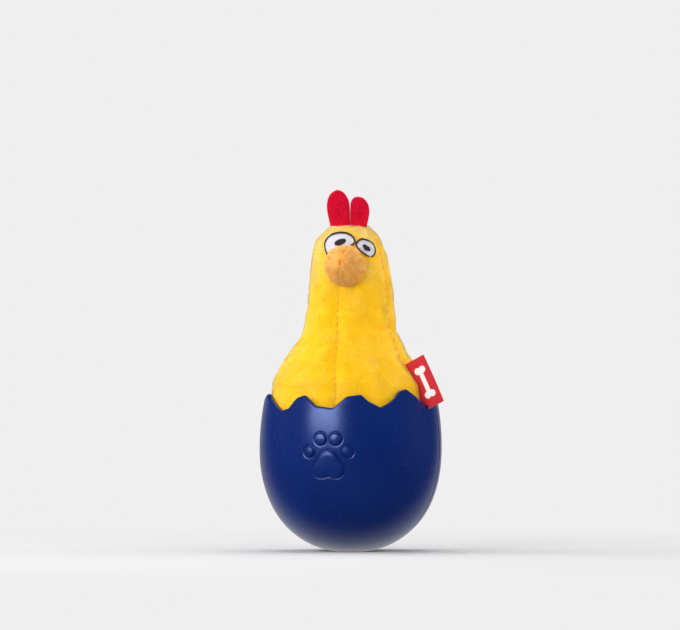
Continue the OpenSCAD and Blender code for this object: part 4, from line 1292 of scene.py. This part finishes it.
def build_label():
    fall = math.radians(LABEL_FALL)
    run = np.array([math.cos(fall), -math.sin(fall)])
    out = np.array([math.sin(fall), math.cos(fall)])
    top_z = CROWN_Z - LABEL_DROP
    seat = skin(SIDE_SEAM, ring_by_z(top_z), SEAM_DIP, lumps=False)
    corner = np.array([math.hypot(seat[0], seat[1]), top_z])
    fold = (LABEL_T - LABEL_LAYER) / 2
    straight = LABEL_W - LABEL_T / 2
    down = np.linspace(-LABEL_TAB, straight, 62)
    turn = np.linspace(-math.pi / 2, math.pi / 2, 11)[1:-1]
    across = np.concatenate([down, straight + fold * np.cos(turn), down[::-1]])
    height = np.concatenate([0 * down - fold, fold * np.sin(turn), 0 * down + fold])
    length = np.linspace(0, LABEL_L, 132)
    step = np.stack([np.gradient(across), np.gradient(height)], -1)
    normal = unit(np.stack([step[:, 1], -step[:, 0]], -1))
    side, radial = level_axes(SIDE_SEAM)
    floor_z = float(rim_height(SIDE_SEAM)) + 0.35
    wall_low, wall_high = float(cup_in(floor_z)) - 0.4, float(cup_out(floor_z)) + 0.4

    def layer(offset):
        """One face of the ribbon, ribbed by its weave, bowed, and lifted over the cup's rim."""
        rib_share, rib_pitch, bow_h = 0.03, 0.46, 0.35
        w = across + offset * normal[:, 0]
        h = height + offset * normal[:, 1]
        rib = rib_share * np.cos(2 * math.pi * length / rib_pitch)[:, None]
        bow = bow_h * np.sin(math.pi * length / LABEL_L)[:, None] * (w / LABEL_W)[None, :] ** 2
        plane = corner + length[:, None, None] * run + w[None, :, None] * out
        r, z = plane[..., 0], plane[..., 1]
        over_wall = (r > wall_low) & (r < wall_high) & (z < floor_z)
        z = np.where(over_wall, floor_z, z)
        thick = h[None, :] * (1 + rib) + bow
        return (r[..., None] * radial + z[..., None] * np.array([0, 0, 1.0])
                + thick[..., None] * side)

    points, faces = slab(layer(LABEL_LAYER / 2), layer(-LABEL_LAYER / 2))
    mid_l = (length[:-1] + length[1:])[:, None] / 2
    mid_w = (across[:-1] + across[1:])[None, :] / 2
    bone = bone_distance(mid_l - LABEL_L / 2, mid_w - LABEL_W / 2) < 0
    chosen = np.zeros(len(faces))
    chosen[:bone.size] = bone.reshape(-1)
    label = make_piece("side_label_ribbon", points, [faces], MATERIALS["ribbon"], "side_label",
                       second_material=MATERIALS["woven_white"], material_of_face=chosen)
    soft(label)


# Inside the toy

def turned(profile, sides=96):
    """Rings turned round the toy's axis from radii and heights."""
    return np.array([around(full_turn(sides), r, z) for r, z in profile])


def bulb_arc(half_w, half_h, from_angle, to_angle, steps):
    angle = np.linspace(from_angle, to_angle, steps)
    power = 2 / 2.6
    return [(half_w * math.cos(a) ** power,
             BULB_MID_Z + half_h * math.copysign(abs(math.sin(a)) ** power, a)) for a in angle]


def build_bulb():
    """The squeaker's bulb: a thin shell with its neck, ribbed so that it folds flat evenly."""
    neck_outer, neck_inner, neck_top = 5.35, 4.25, 83.5
    open_angle = 1.22
    outer = bulb_arc(BULB_R, BULB_H / 2, -math.pi / 2 + 0.02, open_angle, 44)
    inner = bulb_arc(BULB_R - 1, BULB_H / 2 - 1, open_angle, -math.pi / 2 + 0.02, 44)
    outer = [p for p in outer if p[0] > neck_outer or p[1] < BULB_MID_Z]
    inner = [p for p in inner if p[0] > neck_inner or p[1] < BULB_MID_Z]
    neck = [(neck_outer + 0.5, outer[-1][1] + 0.25), (neck_outer, outer[-1][1] + 0.8),
            (neck_outer, neck_top - 0.3), (neck_outer - 0.3, neck_top),
            (neck_inner + 0.3, neck_top), (neck_inner, neck_top - 0.3),
            (neck_inner, inner[0][1] + 0.2)]
    rows = turned(outer + neck + inner)
    rise = np.clip((rows[..., 2] - BULB_MID_Z) / (BULB_H / 2), -1, 1)
    rib = 0.12 * np.cos(10 * rise) * (1 - rise ** 2)
    reach = np.linalg.norm(rows[..., :2], axis=-1)
    ribbed = np.where(reach > neck_outer + 1, rib / np.maximum(reach, 1), 0)
    rows[..., :2] *= (1 + ribbed)[..., None]
    bulb = make_piece("squeaker_bulb_shell", *closed_rows(rows), MATERIALS["squeaker"],
                      "squeaker_bulb")
    soft(bulb)


def build_fillings():
    """Loose fibre inside the plush with a hollow for the squeaker, and inside the beak."""
    azimuth = full_turn(120)
    runs = np.linspace(run_of(HEM_Z + 1.5), PROFILE_RUN[-1] - 1.5, 90)
    ring = ring_grid(runs, len(azimuth))
    outer = skin(azimuth + 0 * ring[..., 0], ring, -PLUSH_T - 0.9)
    away = unit(outer - np.array([0, 0, 70.0]))
    outer = outer + 0.4 * Lumps(71, 5)(outer)[..., None] * away
    comb_foot = CROWN_Z - COMB_TAB - 1.5
    slot = (np.abs(outer[..., 1] - LEAN[1] * HEAD_LEAN) < 2.5) & (outer[..., 2] > comb_foot)
    outer[..., 2] = np.where(slot, comb_foot, outer[..., 2])
    outer_points, outer_faces = closed_rows(outer)
    hollow = bulb_arc(BULB_R + 0.8, BULB_H / 2 + 0.8, -math.pi / 2 + 0.02, 1.1, 40)
    neck_r, neck_top = 5.9, 85.0
    hollow = [p for p in hollow if p[0] > neck_r + 0.4 or p[1] < BULB_MID_Z]
    hollow += [(neck_r, hollow[-1][1] + 0.6), (neck_r, neck_top), (neck_r - 0.4, neck_top + 0.6)]
    inner_points, inner_faces = closed_rows(turned(hollow, sides=72), flipped=True)
    filling = make_piece("fibre_filling_wad", np.vstack([outer_points, inner_points]),
                         outer_faces + [f + len(outer_points) for f in inner_faces],
                         MATERIALS["fibre"], "fibre_filling")
    soft(filling)

    wad_r, lump_h = 5.7, 0.25
    theta = np.linspace(-math.pi, math.pi, 49)[None, :-1]
    psi = np.linspace(-math.pi / 2 + 0.05, math.pi / 2 - 0.05, 32)[:, None]
    p = beak_direction(1, psi + 0 * theta, theta + 0 * psi)
    ball = BEAK_CENTRE + p * (wad_r + lump_h * Lumps(72, 3)(8 * p))[..., None]
    ball, _ = seated(ball, 0.6)
    wad = make_piece("beak_filling_wad", *closed_rows(ball, flipped=True),
                     MATERIALS["fibre"], "beak_filling")
    soft(wad)


def build_base_disc():
    """The cloth disc that closes the plush below, with its hem turned up."""
    low, thick = DISC_Z, DISC_T
    radius = float(cup_in(low)) - FIT_GAP
    top = low + thick

    def groove(r):
        """The line of stitching beside the hem."""
        return 0.25 * smoothstep(radius - 1.2, radius - 2.2, r) * (
            1 - smoothstep(radius - 3.2, radius - 4.2, r))

    profile = [(r, low) for r in np.linspace(1, radius - 0.5, 22)]
    profile += [(radius - 0.15, low + 0.12), (radius, low + thick / 2), (radius - 0.15, top - 0.12)]
    profile += [(r, top - groove(r)) for r in np.linspace(radius - 0.5, 1, 40)]
    rows = turned(profile)
    rows[..., 2] += 0.05 * Lumps(73, 6)(rows) * (rows[..., 2] > low + thick / 2)
    disc = make_piece("plush_base_disc_cloth", *closed_rows(rows), MATERIALS["backing"],
                      "plush_base_disc")


def build_inside():
    for node, material in (("counterweight", "iron"), ("weight_cap", "cap"),
                           ("squeaker_whistle", "squeaker"), ("squeaker_reed", "reed")):
        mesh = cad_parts[node].data
        mesh.materials.clear()
        mesh.materials.append(MATERIALS[material])
    build_bulb()
    build_fillings()
    build_base_disc()


# Light, floor and camera

# The photo's millimetres a pixel, its size, and the toy's axis and foot in it
PX = 0.384
IMAGE_W, IMAGE_H = 680, 630
AXIS_X, FLOOR_Y = 350.8, 551.0
CAMERA_DISTANCE = 3000.0
SENSOR_W = 36.0
BACKGROUND = "#f0eff0"
FLOOR_TONES = ("#c1c0c1", "#c3c2c4")
FLOOR_R = 420.0
FADE_FROM, FADE_TO = 60.0, 330.0
ROOM_BRIGHT, ROOM_DARK = 0.95, 0.05


def place(azimuth, distance, z):
    return Vector(around(CAMERA_AZIMUTH + azimuth, distance, z) * MM)


def aim(item, target):
    item.rotation_euler = (Vector(target) - item.location).to_track_quat("-Z", "Y").to_euler()


def softbox(name, azimuth, distance, z, width, height, power, target_z=75.0, mirrored=False):
    data = bpy.data.lights.new(name, "AREA")
    data.shape = "RECTANGLE"
    data.size, data.size_y = width * MM, height * MM
    data.energy = power
    item = in_scene(name, data)
    item.visible_glossy = mirrored
    item.location = place(azimuth, distance, z)
    aim(item, (0, 0, target_z * MM))


def build_camera():
    data = bpy.data.cameras.new("camera")
    data.sensor_width = SENSOR_W
    data.lens = SENSOR_W * CAMERA_DISTANCE / (IMAGE_W * PX)
    camera = in_scene("camera", data)
    right = Vector(level_axes(CAMERA_AZIMUTH)[0])
    middle_z = (FLOOR_Y - IMAGE_H / 2) * PX
    side = (IMAGE_W / 2 - AXIS_X) * PX
    target = right * side * MM + Vector((0, 0, middle_z * MM))
    camera.location = place(0, CAMERA_DISTANCE, 0) + target
    aim(camera, target)
    bpy.context.scene.camera = camera


def build_stage():
    """A pale round floor that keeps the toy's shadow and fades to an even tone at its edge."""
    turn = np.radians(np.arange(0, 360, 5))
    radii = np.concatenate([[20.0, 60.0], np.linspace(120, FLOOR_R, 8)])
    rings = np.array([[(r * math.cos(t), r * math.sin(t), 0) for t in turn] for r in radii])
    mesh = bpy.data.meshes.new("studio_floor")
    middle = len(radii) * len(turn)
    fan = [(j, (j + 1) % len(turn), middle) for j in range(len(turn))]
    faces = grid_faces(len(radii), len(turn), wrap=True)[:, ::-1].tolist() + fan
    mesh.from_pydata(np.vstack([rings.reshape(-1, 3), [[0, 0, 0]]]) * MM, [], faces)
    f = Finish("studio_paper", 0.9, Specular_IOR_Level=0.0)
    f.colour(f.mix(f.noise(3, 2), *FLOOR_TONES))
    distance = f.node("VectorMath", f.place, operation="LENGTH").outputs["Value"]
    far = f.spread_over(distance, FADE_FROM * MM, FADE_TO * MM, 0, 1)
    glow = f.node("Emission", Color=srgb(BACKGROUND)).outputs[0]
    faded = f.node("Math", f.seen_by_camera(), far, operation="MULTIPLY").outputs[0]
    surface = f.node("MixShader", faded, f.shader.outputs[0], glow).outputs[0]
    f.link(surface, f.nodes["Material Output"].inputs["Surface"])
    mesh.materials.append(f.material)
    floor = in_scene("studio_floor", mesh)
    floor.visible_glossy = False


def build_world():
    """Even light from the sides and behind, a dark room on the camera's side, a pale backdrop."""
    world = bpy.data.worlds.new("studio")
    bpy.context.scene.world = world
    t = Tree(world)
    direction = t.node("TexCoord").outputs["Generated"]
    to_camera = t.node("VectorMath", direction, operation="DOT_PRODUCT")
    to_camera.inputs[1].default_value = Vector(around(CAMERA_AZIMUTH, 0.8, 0.6))
    room = t.nodes["Background"]
    room.inputs["Color"].default_value = (1, 1, 1, 1)
    t.link(t.spread_over(to_camera.outputs["Value"], -1.0, -0.5, ROOM_BRIGHT, ROOM_DARK),
           room.inputs["Strength"])
    backdrop = t.node("Background", Color=srgb(BACKGROUND)).outputs[0]
    surface = t.node("MixShader", t.seen_by_camera(), room.outputs[0], backdrop).outputs[0]
    t.link(surface, t.nodes["World Output"].inputs["Surface"])


def build_lights():
    """Azimuth from the camera, distance, height, the box's width and height, and watts."""
    softbox("key_softbox", -34, 700, 290, 460, 310, 3.9, mirrored=True)
    softbox("fill_softbox", 32, 760, 560, 800, 700, 3.4, target_z=95.0)
    softbox("left_softbox", -100, 760, 380, 900, 700, 7.6, target_z=90.0)
    softbox("right_softbox", 100, 800, 260, 900, 700, 6.5, target_z=90.0)
    softbox("top_softbox", 180, 250, 800, 700, 700, 5.0, target_z=120.0)


bpy.context.scene.view_settings.view_transform = "Standard"
build_camera()
build_stage()
build_world()
build_lights()
stuff_plush()
build_cup()
build_plush()
build_stitches()
build_beak()
build_eyes()
build_comb()
build_label()
build_inside()
